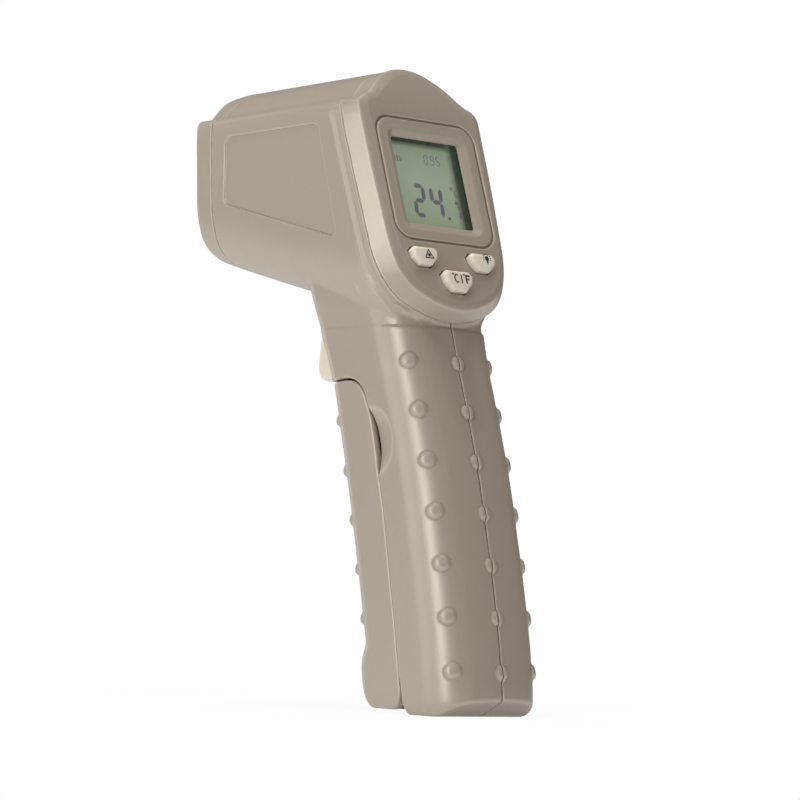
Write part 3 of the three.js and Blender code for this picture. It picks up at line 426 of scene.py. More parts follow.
# sizes: height, base radius, top radius, then fillet where it differs
shell_stations = [
    (z, [stud_on_grip((12.3, y, z), (0.66, 0.72, 0.2), 0.8, 1.0, 1.95, 1.45),
         stud_on_grip((0.0, y + 3.4, z), (0, 0.957, 0.28), 0.75, 1.0, 1.95, 1.45)])
    for y, z in SHELL_STUDS]
door_stations = [
    (z, [stud_on_grip((12.4, float(np.interp(z, grip_rows[:, 0], grip_rows[:, 1])) + 0.9, z),
                      (0.5, -0.84, 0.2), 0.75, 0.9, 1.7, 1.25, 0.3)])
    for z in DOOR_STUDS]


# ---------------------------------------------------------------- shells
def body_skin(x, y, z):
    """Outer form of both shells, with the surfaces that the inside is measured from."""
    across = np.abs(x)
    up, out = panel_turn(y, z)
    nose_y = NOSE_Y + NOSE_LEAN * z
    rear_y = (-BARREL_OUT - z * SIN_TILT) / COS_TILT
    side = PLAN["barrel"](across, z, (y - nose_y) / (rear_y - nose_y))
    seam = PLAN["seam"](across, up)
    handle = grip(across, y, z)

    # shallow panel sunk into the side of the barrel
    recess = soft_cut(PLAN["side_panel"](y, z) - 1.4, side + 0.45, 0.3)
    barrel = soft_cut(side, recess, 0.25)
    # the hump runs on to the bezel; below it the barrel stops at the groove
    hump_end = soft_meet(15.6 - z, out + 4.6, 0.6)
    barrel = soft_meet(barrel, soft_join(out + BARREL_OUT, hump_end, 0.7), 0.5)
    barrel = soft_meet(barrel, (nose_y - y) * NOSE_SLOPE, 0.22)

    # the handle's rear steps in a little under the bezel
    step = grip(across, y + 0.28 + 0.4 * np.clip((across - 8.0) / 2.5, 0, 1), z)
    upper = soft_meet(np.maximum(handle, step), out + 4.9, 0.8)
    lower = soft_meet(handle, z + 35.6, 0.45)
    hand = np.maximum(soft_join(upper, lower, 0.6), z + 16)
    rearward = np.clip((y + 22) / 16, 0, 1)
    skin = soft_join(barrel, hand, 0.7 + 1.3 * rearward)

    # groove beside the bezel: soft towards the barrel, crisp towards the lip
    over = np.clip((out + 9.1) / 3.6, 0, 1)
    fade = np.clip((16.6 - z) / 2.2, 0, 1)
    trough = 0.46 * np.maximum(np.sin(math.pi * over**1.35), 0) ** 1.2
    trough = trough * fade * fade * (3 - 2 * fade)
    sink = 0.45 * np.maximum(-8.7 - out, 0)
    collar = soft_meet(seam + trough + sink, span(out, -13, -4.6), 0.2)
    low = np.clip((-20 - z) / 8, 0, 1)
    skin = soft_join(skin, collar, 0.35 + 1.6 * low)

    facet = foot_facet(y, z)
    skin = soft_meet(skin, facet, 0.7)
    skin = soft_meet(skin, -125.2 - z, 0.8)
    return skin, side, seam, handle, out, facet


def shell(sign):
    """Field of one half: sign 1 lies on +X, -1 on -X and takes the screw heads."""
    boss_radius = 2.9 if sign > 0 else 3.9

    def field(x, y, z):
        across = np.abs(x)
        skin, side, seam, handle, out, facet = body_skin(x, y, z)
        skin = add_studs(skin, across, y, z, shell_stations, 0.35)

        barrel_cavity = np.maximum(side + WALL, out + 14)
        collar_cavity = np.maximum(seam + WALL, -15 - out)
        shelf = np.minimum(out + 10.8, z + 37.6)
        hand_cavity = meet(handle + WALL, span(z, -122.9, -17), shelf, facet + 1.8)
        solid = soft_cut(skin, join(barrel_cavity, collar_cavity, hand_cavity), 0.3)

        # bosses and one rib across the barrel, kept inside the skin
        within = join(meet(side + 0.5, out + BARREL_OUT),
                      meet(seam + 0.9, span(out, -13, -5.2)),
                      meet(handle + 0.5, span(z, -124, -16)))
        bosses = join(*(rod(y, z, screw, boss_radius) for screw in SHELL_SCREWS),
                      meet(rod(y, z, TRIGGER_PIVOT, 2.6), 6.9 - across))
        rib = cut(np.abs(y + 52.2) - 0.8,
                  join(rod(x, z, SENSOR_AXIS, 7.75), rod(x, z, LASER_AXIS, 4.25),
                       meet(across - 6, 17.5 - z)))
        solid = join(solid, meet(join(bosses, rib), within))

        solid = soft_cut(solid, PLAN["opening"](y, z) - 0.12, 0.14)

        # ellipsoid hollow in the side of the handle, leaning with it
        dy, dz = y + 0.85, z + 62.6
        half_x, half_y, half_z = 5.5, 9.5, 11.4
        hollow_x = (across - 19.2) / half_x
        hollow_y = (dy * 0.954 + dz * 0.3) / half_y
        hollow_z = (dz * 0.954 - dy * 0.3) / half_z
        reach = np.sqrt(hollow_x * hollow_x + hollow_y * hollow_y + hollow_z * hollow_z) + 1e-6
        steep = np.sqrt((hollow_x / half_x) ** 2 + (hollow_y / half_y) ** 2
                        + (hollow_z / half_z) ** 2) + 1e-6
        solid = soft_cut(solid, reach * (reach - 1) / steep, 0.35)

        trigger_slot = box(across, y, z, (-math.inf, 6.6), (-38.2, -14), (-47.35, -20))
        solid = soft_cut(solid, trigger_slot, 0.25)
        solid = cut(solid, meet(rod(y, z, TRIGGER_PIVOT, 1.55), across - 11.6))

        # bent arm that carries the door's hinge pin
        arm = join(box(across, y, z, (10.4, 12.2), (5.6, 14.5), (-121.7, -118.3)),
                   box(across, y, z, (10.4, 14.2), (12.6, 15.0), (-121.7, -118.3)))
        solid = join(solid, arm)
        solid = cut(solid, meet(rod(y, z, DOOR_PIVOT, HINGE_BORE), across - 11.9))

        for screw in SHELL_SCREWS:
            solid = cut(solid, meet(rod(y, z, screw, 1.35), x - 11.5))
            if sign < 0:
                solid = soft_cut(solid, meet(rod(y, z, screw, 2.9), x + 13.2), 0.2)
        return soft_meet(solid, SEAM_GAP - sign * x, 0.1)

    return field


# ---------------------------------------------------------------- nose cap
def nose_cap(x, y, z):
    depth = (y - (NOSE_Y + NOSE_LEAN * z)) * NOSE_SLOPE  # below 0 ahead of the joint
    # the underside rises towards the front
    rise = 1 - 0.11 * np.clip(-depth / 7.3, 0, 1)
    section = PLAN["nose"](np.abs(x), np.where(z < 0, z / rise, z))
    solid = soft_meet(section, -NOSE_LENGTH - depth, 1.5)
    solid = soft_meet(solid, depth + 0.3, 0.22)
    solid = soft_cut(solid, meet(section + WALL + 0.2, -NOSE_LENGTH + 2.2 - depth), 0.3)

    # spigot that enters the barrel, and the foot that ties it to the wall
    inner_edge = -(section + WALL + 1.5)
    spigot = meet(section + WALL + 0.3, inner_edge, span(depth, -1.4, 3.6))
    foot = meet(section + WALL - 0.4, inner_edge, span(depth, -1.6, -0.6))
    # solid round both bores
    sensor_boss = meet(rod(x, z, SENSOR_AXIS, 9.2), span(y, -67.6, -60.8))
    laser_boss = meet(rod(x, z, LASER_AXIS, 4.2), span(y, -68.2, -61.6))
    solid = join(solid, spigot, foot, sensor_boss, laser_boss)

    # mouth that widens forwards, then the straight bores
    mouth = meet((np.hypot(x, z) - (7.0 + (-64.4 - y) * 4.4 / 6.1)) * 0.81, y + 64.4)
    solid = soft_cut(solid, mouth, 0.35)
    solid = soft_cut(solid, meet(rod(x, z, SENSOR_AXIS, 7.35), span(y, -66, -58)), 0.12)
    solid = soft_cut(solid, meet(rod(x, z, LASER_AXIS, 1.6), y + 58), 0.3)
    return cut(solid, meet(rod(x, z, LASER_AXIS, 3.35), span(y, -64.2, -58)))


# ---------------------------------------------------------------- rear bezel and buttons
def button_plan(name, x, up):
    plan = PLAN["unit_button" if name == "unit_button" else "button"]
    centre_x, centre_up = BUTTONS[name]
    return plan(x - centre_x, up - centre_up)


def bezel(x, up, out):
    """Rear bezel in panel coordinates."""
    across = np.abs(x)
    front, seam = PLAN["front"](across, up), PLAN["seam"](across, up)
    taper = np.clip(-out / 4.45, -0.4, 1.1)
    side = (front * (1 - taper) + seam * taper) * 0.86
    hump = (out + (up - 21.9) * 0.21) * 0.979
    face = soft_meet(out, hump, 0.8)
    # side, a narrow bevel with a crisp rim, then a soft roll on to the face
    bevel = (side * 1.15 + face + 0.8) * 0.656
    solid = soft_meet(soft_meet(side, bevel, 0.08), face, 0.7)
    solid = soft_meet(solid, -4.45 - out, 0.18)
    solid = cut(solid, meet(side + 1.75, face + 1.95))
    plug = meet(seam + 2.3, -(seam + 3.4), span(out, -7.2, -3.2))
    bosses = join(*(rod(x, up, screw, 2.1) for screw in BOARD_SCREWS))
    solid = join(solid, plug, meet(bosses, -7.7 - out, face + 0.8, side + 0.8))

    # display opening: pillowed frame that falls away to a thin lip round the pane
    window = round_box(x, up, *WINDOW_HALF, 0.7)
    profile = np.clip((window - 0.55) / 2.0, 0, 1)
    dip = 1.15 * (1 - np.sin(profile * math.pi / 2) ** 0.9) - 0.1
    solid = soft_cut(solid, meet((-dip - out) * 0.85, window - 3.4), 0.15)
    solid = cut(solid, meet(window - 0.4, -1.2 - out))
    solid = soft_cut(solid, window, 0.1)
    # thin groove round the frame
    ring = round_box(x, up, 15.1, 15.9, 4.5)
    groove = meet(np.abs(ring) - 0.3 - 0.5 * np.maximum(out + 0.3, 0), -0.6 - out)
    solid = soft_cut(solid, groove, 0.1)
    # seat of the pane
    solid = cut(solid, box(x, up, out, (-12.3, 12.3), (-12.9, 12.9), (-4.2, -1.35)))

    for name in BUTTONS:
        solid = soft_cut(solid, meet(button_plan(name, x, up) - 0.36, -5 - out), 0.22)
    for screw in BOARD_SCREWS:
        solid = cut(solid, meet(rod(x, up, screw, 0.85), out + 2.6))
    return solid


def button(name):
    centre = BUTTONS[name]

    def field(x, up, out):
        side = button_plan(name, x, up) * 0.98
        crown = out - BUTTON_TOP + 0.006 * ((x - centre[0]) ** 2 + (up - centre[1]) ** 2)
        chamfer = (side + out - BUTTON_TOP + 0.62) * 0.7071
        solid = soft_meet(soft_meet(side, chamfer, 0.3), crown, 0.2)
        solid = np.maximum(solid, -2.6 - out)
        flange = meet(side - 0.8, np.abs(out + 2.8) - 0.42)
        pin = meet(rod(x, up, centre, 1.2), span(out, -3.7, -3.0))
        # softly meeting itself draws the flange in slightly
        return join(solid, soft_meet(flange, flange, 0.05), pin)

    return field


# ---------------------------------------------------------------- battery door and trigger
def battery_door(x, y, z):
    across = np.abs(x)
    handle = grip(across, y, z)
    solid = soft_meet(handle, PLAN["door"](y, z), 0.55)
    solid = np.maximum(solid, foot_facet(y, z))
    solid = add_studs(solid, across, y, z, door_stations, 0.22)
    solid = soft_cut(solid, meet(handle + 1.8, -122.4 - z), 0.3)
    # hinge ears and the legs that tie them to the door
    ear_plate = np.abs(across - 8.9) - 1.0
    ear = meet(rod(y, z, DOOR_PIVOT, 2.6), ear_plate)
    leg = meet(np.abs(y - DOOR_PIVOT[0] + 1.05) - 2.9, ear_plate, span(z, -123.5, DOOR_PIVOT[1]))
    solid = join(solid, ear, leg)
    solid = cut(solid, meet(rod(y, z, DOOR_PIVOT, HINGE_BORE), across - 12))
    # room for the shells' arms
    return cut(solid, box(across, y, z, (10.1, 12.5), (5.2, 16), (-126, -117.8)))


def trigger(x, y, z):
    across = np.abs(x)
    solid = soft_meet(PLAN["trigger"](y, z), across - 6.2, 1.3)
    hollow = meet(across - 4.6, -(y + 32.6) - 0.06 * (z + 36), span(z, -45.3, -18))
    solid = soft_cut(solid, hollow, 0.25)
    rib = box(x, y, z, (-1.6, 1.6), (-33.2, -23.2), (-35.6, -33.4))
    spring_stub = meet(rod(x, z, (0, SPRING_Z), 1.5), span(y, -33.3, -31.0))
    solid = join(solid, rib, spring_stub)
    return cut(solid, rod(y, z, TRIGGER_PIVOT, 1.6))


# ---------------------------------------------------------------- screws
def screw_field(head_radius, head_height, shank_radius, length):
    """Pan-head screw along +z, head top at 0, with crossed recess and rolled thread."""

    def field(x, y, z):
        radius = np.hypot(x, y)
        crown = -z + 0.11 * radius * radius * (1.0 / head_radius)
        head = soft_meet(radius - head_radius, np.maximum(crown, z - head_height), 0.16)
        half_arm = head_radius * 0.52
        cross = join(meet(np.abs(x) - 0.22, np.abs(y) - half_arm),
                     meet(np.abs(y) - 0.22, np.abs(x) - half_arm))
        head = cut(head, meet(cross, z - head_height * 0.6))
        phase = (z / 0.9 - np.arctan2(y, x) / (2 * math.pi)) % 1.0
        run_in = np.clip((z - head_height - 0.5) / 0.8, 0, 1)
        ridge = shank_radius - 0.24 + 0.24 * (1 - np.abs(2 * phase - 1)) * run_in
        point = np.clip((length - z) / 1.6, 0.3, 1)
        shank = meet(radius - ridge * point, head_height - 0.4 - z, z - length) * 0.8
        return join(head, shank)

    return field


# ---------------------------------------------------------------- meshing
class Solid(NamedTuple):
    """A field, the box it is meshed in, and where the mesh goes."""
    field: Callable
    low: tuple
    high: tuple
    voxel: float
    panel: bool = False  # the field is in panel coordinates
    body: str = "housing"
    material: str = "taupe"
    limit: int = 0  # triangles kept


SOLIDS = {
    "left_shell": Solid(shell(1), (-0.4, -63, -126.4), (23, 33.5, 29.5), 0.38, limit=190000),
    "right_shell": Solid(shell(-1), (-23, -63, -126.4), (0.4, 33.5, 29.5), 0.38, limit=190000),
    "nose_cap": Solid(nose_cap, (-22, -72, -21.5), (22, -55, 29.5), 0.32, limit=150000),
    "rear_bezel": Solid(bezel, (-22, -36, -8.4), (22, 32, 0.8), 0.21, True, limit=190000),
    "battery_door": Solid(battery_door, (-17, -21, -125.6), (17, 15, -46.5), 0.32,
                          body="battery_door", limit=170000),
    "trigger": Solid(trigger, (-7.2, -36.6, -48), (7.2, -21, -19), 0.2,
                     body="trigger", material="cream", limit=80000),
}
for name, (x, up) in BUTTONS.items():
    SOLIDS[name] = Solid(button(name), (x - 7, up - 5, -4.2), (x + 7, up + 5, 2.0), 0.11,
                         True, name, "cream", 60000)
SCREW_SOLIDS = {
    "shell_screw": Solid(screw_field(2.55, 1.45, 1.05, 25.2), (-3, -3, -0.4), (3, 3, 25.6), 0.15),
    "board_screw": Solid(screw_field(1.95, 1.3, 0.72, 7.6), (-2.3, -2.3, -0.4), (2.3, 2.3, 8.0),
                         0.12),
}


def shifted_sample(field, points, axis, shift):
    """The field at points moved along one axis."""
    return field(*(points[:, i] + shift * (i == axis) for i in range(3)))


def distance_and_normal(field, points, voxel):
    reach = 0.04 if voxel < 0.15 else max(0.3 * voxel, 0.12)
    value = field(points[:, 0], points[:, 1], points[:, 2])
    normal = np.stack([shifted_sample(field, points, i, reach)
                       - shifted_sample(field, points, i, -reach) for i in range(3)], 1)
    length = np.linalg.norm(normal, axis=1)
    known = length > 1e-9
    normal[known] /= length[known, None]
    steepness = np.clip(length / (2 * reach), 0.5, 2.0)
    return value / steepness, normal


def mesh_solid(solid):
    """Quads on the zero surface of a field, moved onto the exact surface."""
    field = solid.field
    step = solid.voxel * COARSEN
    low, high = np.array(solid.low, float), np.array(solid.high, float)
    block = 4  # voxels along the side of a coarse block
    blocks = np.ceil((high - low) / (step * block)).astype(int) + 1
    size = blocks * block

    # the middles of the blocks tell which ones the surface can cross
    index = np.indices(blocks).reshape(3, -1)
    middles = low[:, None] + (index * block + (block - 1) / 2) * step
    chunk = 400000
    coarse = np.concatenate([field(*middles[:, s:s + chunk])
                             for s in range(0, middles.shape[1], chunk)])
    background = 3 * step
    grid = np.where(coarse.reshape(blocks) > 0, background, -background).astype(np.float32)
    grid = grid.repeat(block, 0).repeat(block, 1).repeat(block, 2)
    live = np.abs(coarse) < (block - 1) / 2 * step * 1.7321 * 1.1 + 1.3 * step

    # every voxel of those blocks is sampled
    base = index[:, live].astype(np.int32) * block
    offsets = np.indices((block, block, block)).reshape(3, -1).astype(np.int32)
    voxels = (base[:, :, None] + offsets[:, None, :]).reshape(3, -1)
    flat = (voxels[0].astype(np.int64) * size[1] + voxels[1]) * size[2] + voxels[2]
    values = np.empty(voxels.shape[1], np.float32)
    chunk = 500000
    for s in range(0, voxels.shape[1], chunk):
        points = low[:, None] + voxels[:, s:s + chunk] * step
        values[s:s + chunk] = field(*(axis.astype(np.float32) for axis in points))
    grid.reshape(-1)[flat] = np.clip(values, -background, background)

    volume = openvdb.FloatGrid(float(background))
    volume.copyFromArray(grid)
    points, quads = volume.convertToQuads(isovalue=0.0)
    points = points.astype(float) * step + low
    for _ in range(2):
        value, normal = distance_and_normal(field, points, step)
        points -= normal * np.clip(value, -0.6 * step, 0.6 * step)[:, None]
    # quads face outwards when the signed volume is positive
    a, b, c = (points[quads[:, i]] for i in range(3))
    if float(np.einsum("ij,ij->i", a, np.cross(b, c)).sum()) < 0:
        quads = quads[:, ::-1]
    return points, quads


def shade(mesh, smooth=True):
    mesh.polygons.foreach_set("use_smooth", np.full(len(mesh.polygons), smooth))


def add_object(name, mesh):
    ob = bpy.data.objects.new(name, mesh)
    bpy.context.scene.collection.objects.link(ob)
    return ob


def dense_object(name, points, faces):
    """Object from millimetre points and equal-sized faces."""
    mesh = bpy.data.meshes.new(name)
    faces = np.asarray(faces, np.int32)
    corners = faces.shape[1]
    mesh.vertices.add(len(points))
    mesh.vertices.foreach_set("co", np.asarray(to_frame(points), np.float32).ravel())
    mesh.loops.add(faces.size)
    mesh.loops.foreach_set("vertex_index", faces.ravel())
    mesh.polygons.add(len(faces))
    mesh.polygons.foreach_set("loop_start", np.arange(0, faces.size, corners, dtype=np.int32))
    mesh.update(calc_edges=True)
    mesh.validate()
    ob = add_object(name, mesh)
    shade(mesh)
    return ob


def thin(ob, limit):
    """Fewer triangles where the surface is flat."""
    triangles = sum(len(face.vertices) - 2 for face in ob.data.polygons)
    if triangles <= limit:
        return
    modifier = ob.modifiers.new("thin", "DECIMATE")
    modifier.ratio = limit / triangles
    depsgraph = bpy.context.evaluated_depsgraph_get()
    mesh = bpy.data.meshes.new_from_object(ob.evaluated_get(depsgraph))
    old = ob.data
    ob.modifiers.clear()
    ob.data = mesh
    bpy.data.meshes.remove(old)
    shade(mesh)


def vertex_values(mesh, key):
    values = np.zeros(len(mesh.vertices) * 3, np.float32)
    mesh.vertices.foreach_get(key, values)
    return values.reshape(-1, 3)


def field_points(mesh, panel):
    """Vertices in the coordinates of the field they came from."""
    points = vertex_values(mesh, "co").astype(float) * 1000 - ORIGIN
    return turn_rows(points) if panel else points


def store_turn(mesh, solid):
    """Stores how sharply the surface turns: above 0 on outer edges, below 0 in corners."""
    points = field_points(mesh, solid.panel)
    reach = 0.3
    turn = -6 * solid.field(points[:, 0], points[:, 1], points[:, 2])
    for axis in range(3):
        for shift in (-reach, reach):
            turn = turn + shifted_sample(solid.field, points, axis, shift)
    turn = np.clip(turn / (reach * reach), -4, 4)
    # lone vertices that stand out from all their neighbours are levelled
    edges = np.zeros(len(mesh.edges) * 2, np.int32)
    mesh.edges.foreach_get("vertices", edges)
    i, j = edges[::2], edges[1::2]
    for _ in range(2):
        low, high = np.full(len(turn), 9.0), np.full(len(turn), -9.0)
        for here, there in ((i, j), (j, i)):
            np.minimum.at(low, here, turn[there])
            np.maximum.at(high, here, turn[there])
        turn = np.clip(turn, low, high)
    attribute = mesh.attributes.new("turn", "FLOAT", "POINT")
    attribute.data.foreach_set("value", turn.astype(np.float32))


def store_normals(mesh, solid):
    """Takes the shading normals from the field."""
    points = field_points(mesh, solid.panel)
    normal = distance_and_normal(solid.field, points, solid.voxel)[1]
    if solid.panel:
        normal = turn_rows(normal)
    normal[np.linalg.norm(normal, axis=1) < 0.5] = (0, 0, 1)
    # a normal that disagrees with its own faces is left to Blender
    own = vertex_values(mesh, "normal")
    wrong = (normal * own).sum(1) < 0.6
    normal[wrong] = own[wrong]
    mesh.normals_split_custom_set_from_vertices(normal.tolist())


# ---------------------------------------------------------------- shader helpers
class Shader:
    """Node tree of a material or world, emptied down to its output."""

    def __init__(self, owner, output="OutputMaterial"):
        owner.use_nodes = True
        self.owner = owner
        self.tree = owner.node_tree
        self.tree.nodes.clear()
        self.output = self.tree.nodes.new("ShaderNode" + output)

    def add(self, kind, inputs=None, output=0, **settings):
        """Adds a node and returns one output; inputs take sockets or plain values."""
        node = self.tree.nodes.new("ShaderNode" + kind)
        for key, value in settings.items():
            setattr(node, key, value)
        for key, value in (inputs or {}).items():
            if isinstance(value, bpy.types.NodeSocket):
                self.tree.links.new(value, node.inputs[key])
            else:
                node.inputs[key].default_value = value
        return node.outputs[output]

    @cached_property
    def place(self):
        return self.add("TexCoord", output="Object")

    def noise(self, scale, detail, roughness):
        inputs = {"Scale": scale, "Detail": detail, "Roughness": roughness, "Vector": self.place}
        return self.add("TexNoise", inputs, "Fac")

    def remap(self, value, source, target=(0, 1)):
        return self.add("MapRange", dict(enumerate((value, *source, *target))))

    def mix(self, factor, first, second, blend="MIX"):
        return self.add("Mix", {0: factor, 6: first, 7: second}, 2,
                        data_type="RGBA", blend_type=blend)

    def ramp(self, factor, stops, interpolation="LINEAR"):
        """Colour ramp; stops are (position, linear colour) from low to high."""
        color = self.add("ValToRGB", {0: factor})
        ramp = color.node.color_ramp
        ramp.interpolation = interpolation
        for i, (position, value) in enumerate(stops):
            stop = ramp.elements[i] if i < 2 else ramp.elements.new(position)
            stop.position = position
            stop.color = value
        return color

    def bump(self, height, strength, distance):
        return self.add("Bump", {"Strength": strength, "Distance": distance, "Height": height})

    def finish(self, surface):
        self.tree.links.new(surface, self.output.inputs[0])
        return self.owner


def new_shader(name):
    return Shader(bpy.data.materials.new(name))


def linear(rgb):
    """8-bit sRGB to a linear colour with alpha."""
    return tuple(((c / 255 + 0.055) / 1.055) ** 2.4 if c / 255 > 0.04045 else c / 255 / 12.92
                 for c in rgb) + (1.0,)


def scaled(color, *factors):
    """A colour times one factor or one for each channel, held to 1."""
    return tuple(min(c * k, 1) for c, k in zip(color[:3], factors * 3)) + (1.0,)


MIDDLE = (0.3, 0.7)  # where most of a noise's values fall


# ---------------------------------------------------------------- materials
def moulded(name, rgb, rough=0.42, grain=0.5, grain_mm=0.3, spec=0.5, coat=0.0, metallic=0.0,
            vary=0.05, painted_edge_shading=0.12, sub=0.0):
    """Moulded part: fine grain, slow colour drift, a painted highlight on outer edges and painted
    shade in hollows.
    """
    shader = new_shader(name)
    fine = shader.noise(scale=1000.0 / grain_mm, detail=3.0, roughness=0.65)
    spark = shader.noise(scale=1900.0 / grain_mm, detail=0.0, roughness=0.5)
    slow = shader.noise(scale=38.0, detail=2.0, roughness=0.5)
    base = linear(rgb)
    drift = shader.remap(slow, MIDDLE)
    color = shader.mix(drift, scaled(base, 1 - vary), scaled(base, 1 + vary))
    darker = shader.mix(1.0, color, (0.97, 0.97, 0.97, 1), "MULTIPLY")
    lighter = shader.mix(1.0, color, (1.03, 1.03, 1.03, 1), "MULTIPLY")
    color = shader.mix(shader.remap(fine, MIDDLE), darker, lighter)
    if painted_edge_shading:
        # painted highlight on sharply turning outer edges and painted shade in creases, both
        # scaled by this amount
        turn = shader.add("Attribute", output="Fac", attribute_name="turn")
        edge = shader.remap(turn, (0.55, 2.2), (0, painted_edge_shading))
        hollow = shader.remap(turn, (-0.9, -3.2), (0, min(painted_edge_shading * 2.2, 1)))
        color = shader.mix(edge, color, scaled(base, 1.6))
        color = shader.mix(hollow, color, scaled(base, 0.34, 0.26, 0.20))
    inputs = {
        "Base Color": color,
        "Roughness": shader.remap(spark, MIDDLE, (rough - 0.03, rough + 0.03)),
        "Metallic": metallic,
        "Specular IOR Level": spec,
        "Coat Weight": coat,
        "Coat Roughness": 0.25,
        "Normal": shader.bump(fine, strength=grain, distance=0.00002),
    }
    if sub:
        inputs["Subsurface Weight"] = sub
        inputs["Subsurface Radius"] = (0.0012, 0.0009, 0.0006)
        inputs["Subsurface Scale"] = 1.0
    return shader.finish(shader.add("BsdfPrincipled", inputs))


def metal(name, rgb, rough):
    """Bare metal with fine grain and slow patches of darker tone."""
    shader = new_shader(name)
    grain = shader.noise(scale=5000.0, detail=4.0, roughness=0.7)
    patches = shader.noise(scale=260.0, detail=3.0, roughness=0.6)
    base = linear(rgb)
    return shader.finish(shader.add("BsdfPrincipled", {
        "Base Color": shader.mix(shader.remap(patches, MIDDLE), scaled(base, 0.8), base),
        "Metallic": 1.0,
        "Roughness": shader.remap(grain, MIDDLE, (rough - 0.08, rough + 0.12)),
        "Normal": shader.bump(grain, strength=0.25, distance=0.00001),
    }))


def circuit(name):
    """Solder-masked board: tracks from a brick pattern, pads from cells."""
    shader = new_shader(name)
    place = shader.add("Mapping", {"Vector": shader.place,
                                   "Rotation": (math.pi / 2 - TILT, 0, 0)})
    tracks = shader.add("TexBrick", {
        "Vector": place, "Scale": 260.0, "Mortar Size": 0.035,
        "Color1": (0, 0, 0, 1), "Color2": (0, 0, 0, 1), "Mortar": (1, 1, 1, 1),
    }, "Color")
    cells = shader.add("TexVoronoi", {"Vector": place, "Scale": 420.0}, "Distance")
    color = shader.mix(tracks, linear((28, 92, 52)), linear((52, 128, 74)))
    pads = shader.remap(cells, (0.16, 0.2), (1, 0))
    return shader.finish(shader.add("BsdfPrincipled", {
        "Base Color": shader.mix(pads, color, linear((196, 190, 160))),
        "Roughness": 0.38,
        "Normal": shader.bump(tracks, strength=0.4, distance=0.00003),
    }))


def clear(name):
    """Clear window: mostly see-through, more reflective at grazing angles, faint scuffs."""
    shader = new_shader(name)
    through = shader.add("BsdfTransparent", {0: (0.93, 0.96, 0.94, 1)})
    scuffs = shader.noise(scale=900.0, detail=5.0, roughness=0.7)
    gloss = shader.add("BsdfGlossy",
                       {"Roughness": shader.remap(scuffs, (0.35, 0.75), (0.04, 0.14))})
    facing = shader.add("LayerWeight", output="Facing")
    share = shader.remap(facing, (0.3, 1.0), (0.025, 0.6))
    return shader.finish(shader.add("MixShader", {0: share, 1: through, 2: gloss}))


def display(name):
    """Liquid-crystal glass: green-grey, with painted shade darkening its top and its -X side where
    the recess walls shadow it, a painted glow, faint speckle.
    """
    shader = new_shader(name)
    x = shader.add("SeparateXYZ", {0: shader.place})
    z = x.node.outputs[2]
    bottom, top = (float(to_frame(on_panel(0, up, LCD_FACE))[2]) for up in (-11.6, 11.6))
    # painted shade by height: lightest in the middle, darkest in a band at the top under the
    # recess's upper wall
    stops = [(0.0, (143, 153, 132)), (0.55, (157, 165, 150)), (0.92, (146, 155, 138)),
             (0.965, (84, 94, 78)), (0.98, (38, 46, 36)), (1.0, (46, 56, 44))]
    color = shader.ramp(shader.remap(z, (bottom, top)), [(p, linear(c)) for p, c in stops])
    # painted shade on the -X side where the recess wall shadows the glass, with a darker strip at
    # the very edge
    side = shader.remap(x, (-0.0091, -0.0071), (1, 0))
    color = shader.mix(side, color, linear((98, 110, 90)))
    edge = shader.remap(x, (-0.0095, -0.0086), (1, 0))
    color = shader.mix(edge, color, linear((44, 52, 41)))
    speckle = shader.noise(scale=5200.0, detail=1.0, roughness=0.5)
    color = shader.mix(shader.remap(speckle, MIDDLE, (0, 0.1)), color, linear((190, 205, 184)))
    return shader.finish(shader.add("BsdfPrincipled", {
        "Base Color": color,
        "Roughness": 0.35,
        "Specular IOR Level": 0.3,
        # painted glow that lifts the glass's brightness
        "Emission Color": color,
        "Emission Strength": 0.5,
    }))


def sleeve(name):
    """Battery sleeve: printed bands along the cell, bare steel at the ends."""
    shader = new_shader(name)
    along = shader.add("Attribute", output="Fac", attribute_name="along")
    bands = [(0.0, (168, 168, 166)), (0.02, (38, 44, 54)), (0.62, (196, 160, 96)),
             (0.645, (44, 92, 120)), (0.955, (168, 168, 166))]
    color = shader.ramp(along, [(p, linear(c)) for p, c in bands], "CONSTANT")
    bare, film = (1, 1, 1, 1), (0.15, 0.15, 0.15, 1)
    grime = shader.noise(scale=1500.0, detail=3.0, roughness=0.6)
    return shader.finish(shader.add("BsdfPrincipled", {
        "Base Color": shader.mix(shader.remap(grime, (0.3, 0.8), (0, 0.18)), color,
                                 (0.02, 0.02, 0.02, 1)),
        "Metallic": shader.ramp(along, [(0.0, bare), (0.02, film), (0.955, bare)], "CONSTANT"),
        "Roughness": shader.remap(grime, MIDDLE, (0.22, 0.36)),
    }))


def ink(name, rgb, glow=0.0):
    shader = new_shader(name)
    speckle = shader.noise(scale=6000.0, detail=2.0, roughness=0.5)
    base = linear(rgb)
    lighter = tuple(min(c * 1.8 + 0.01, 1) for c in base[:3]) + (1.0,)
    return shader.finish(shader.add("BsdfPrincipled", {
        "Base Color": shader.mix(shader.remap(speckle, MIDDLE, (0, 0.25)), base, lighter),
        "Roughness": 0.6,
        "Emission Color": base,
        "Emission Strength": glow,
    }))


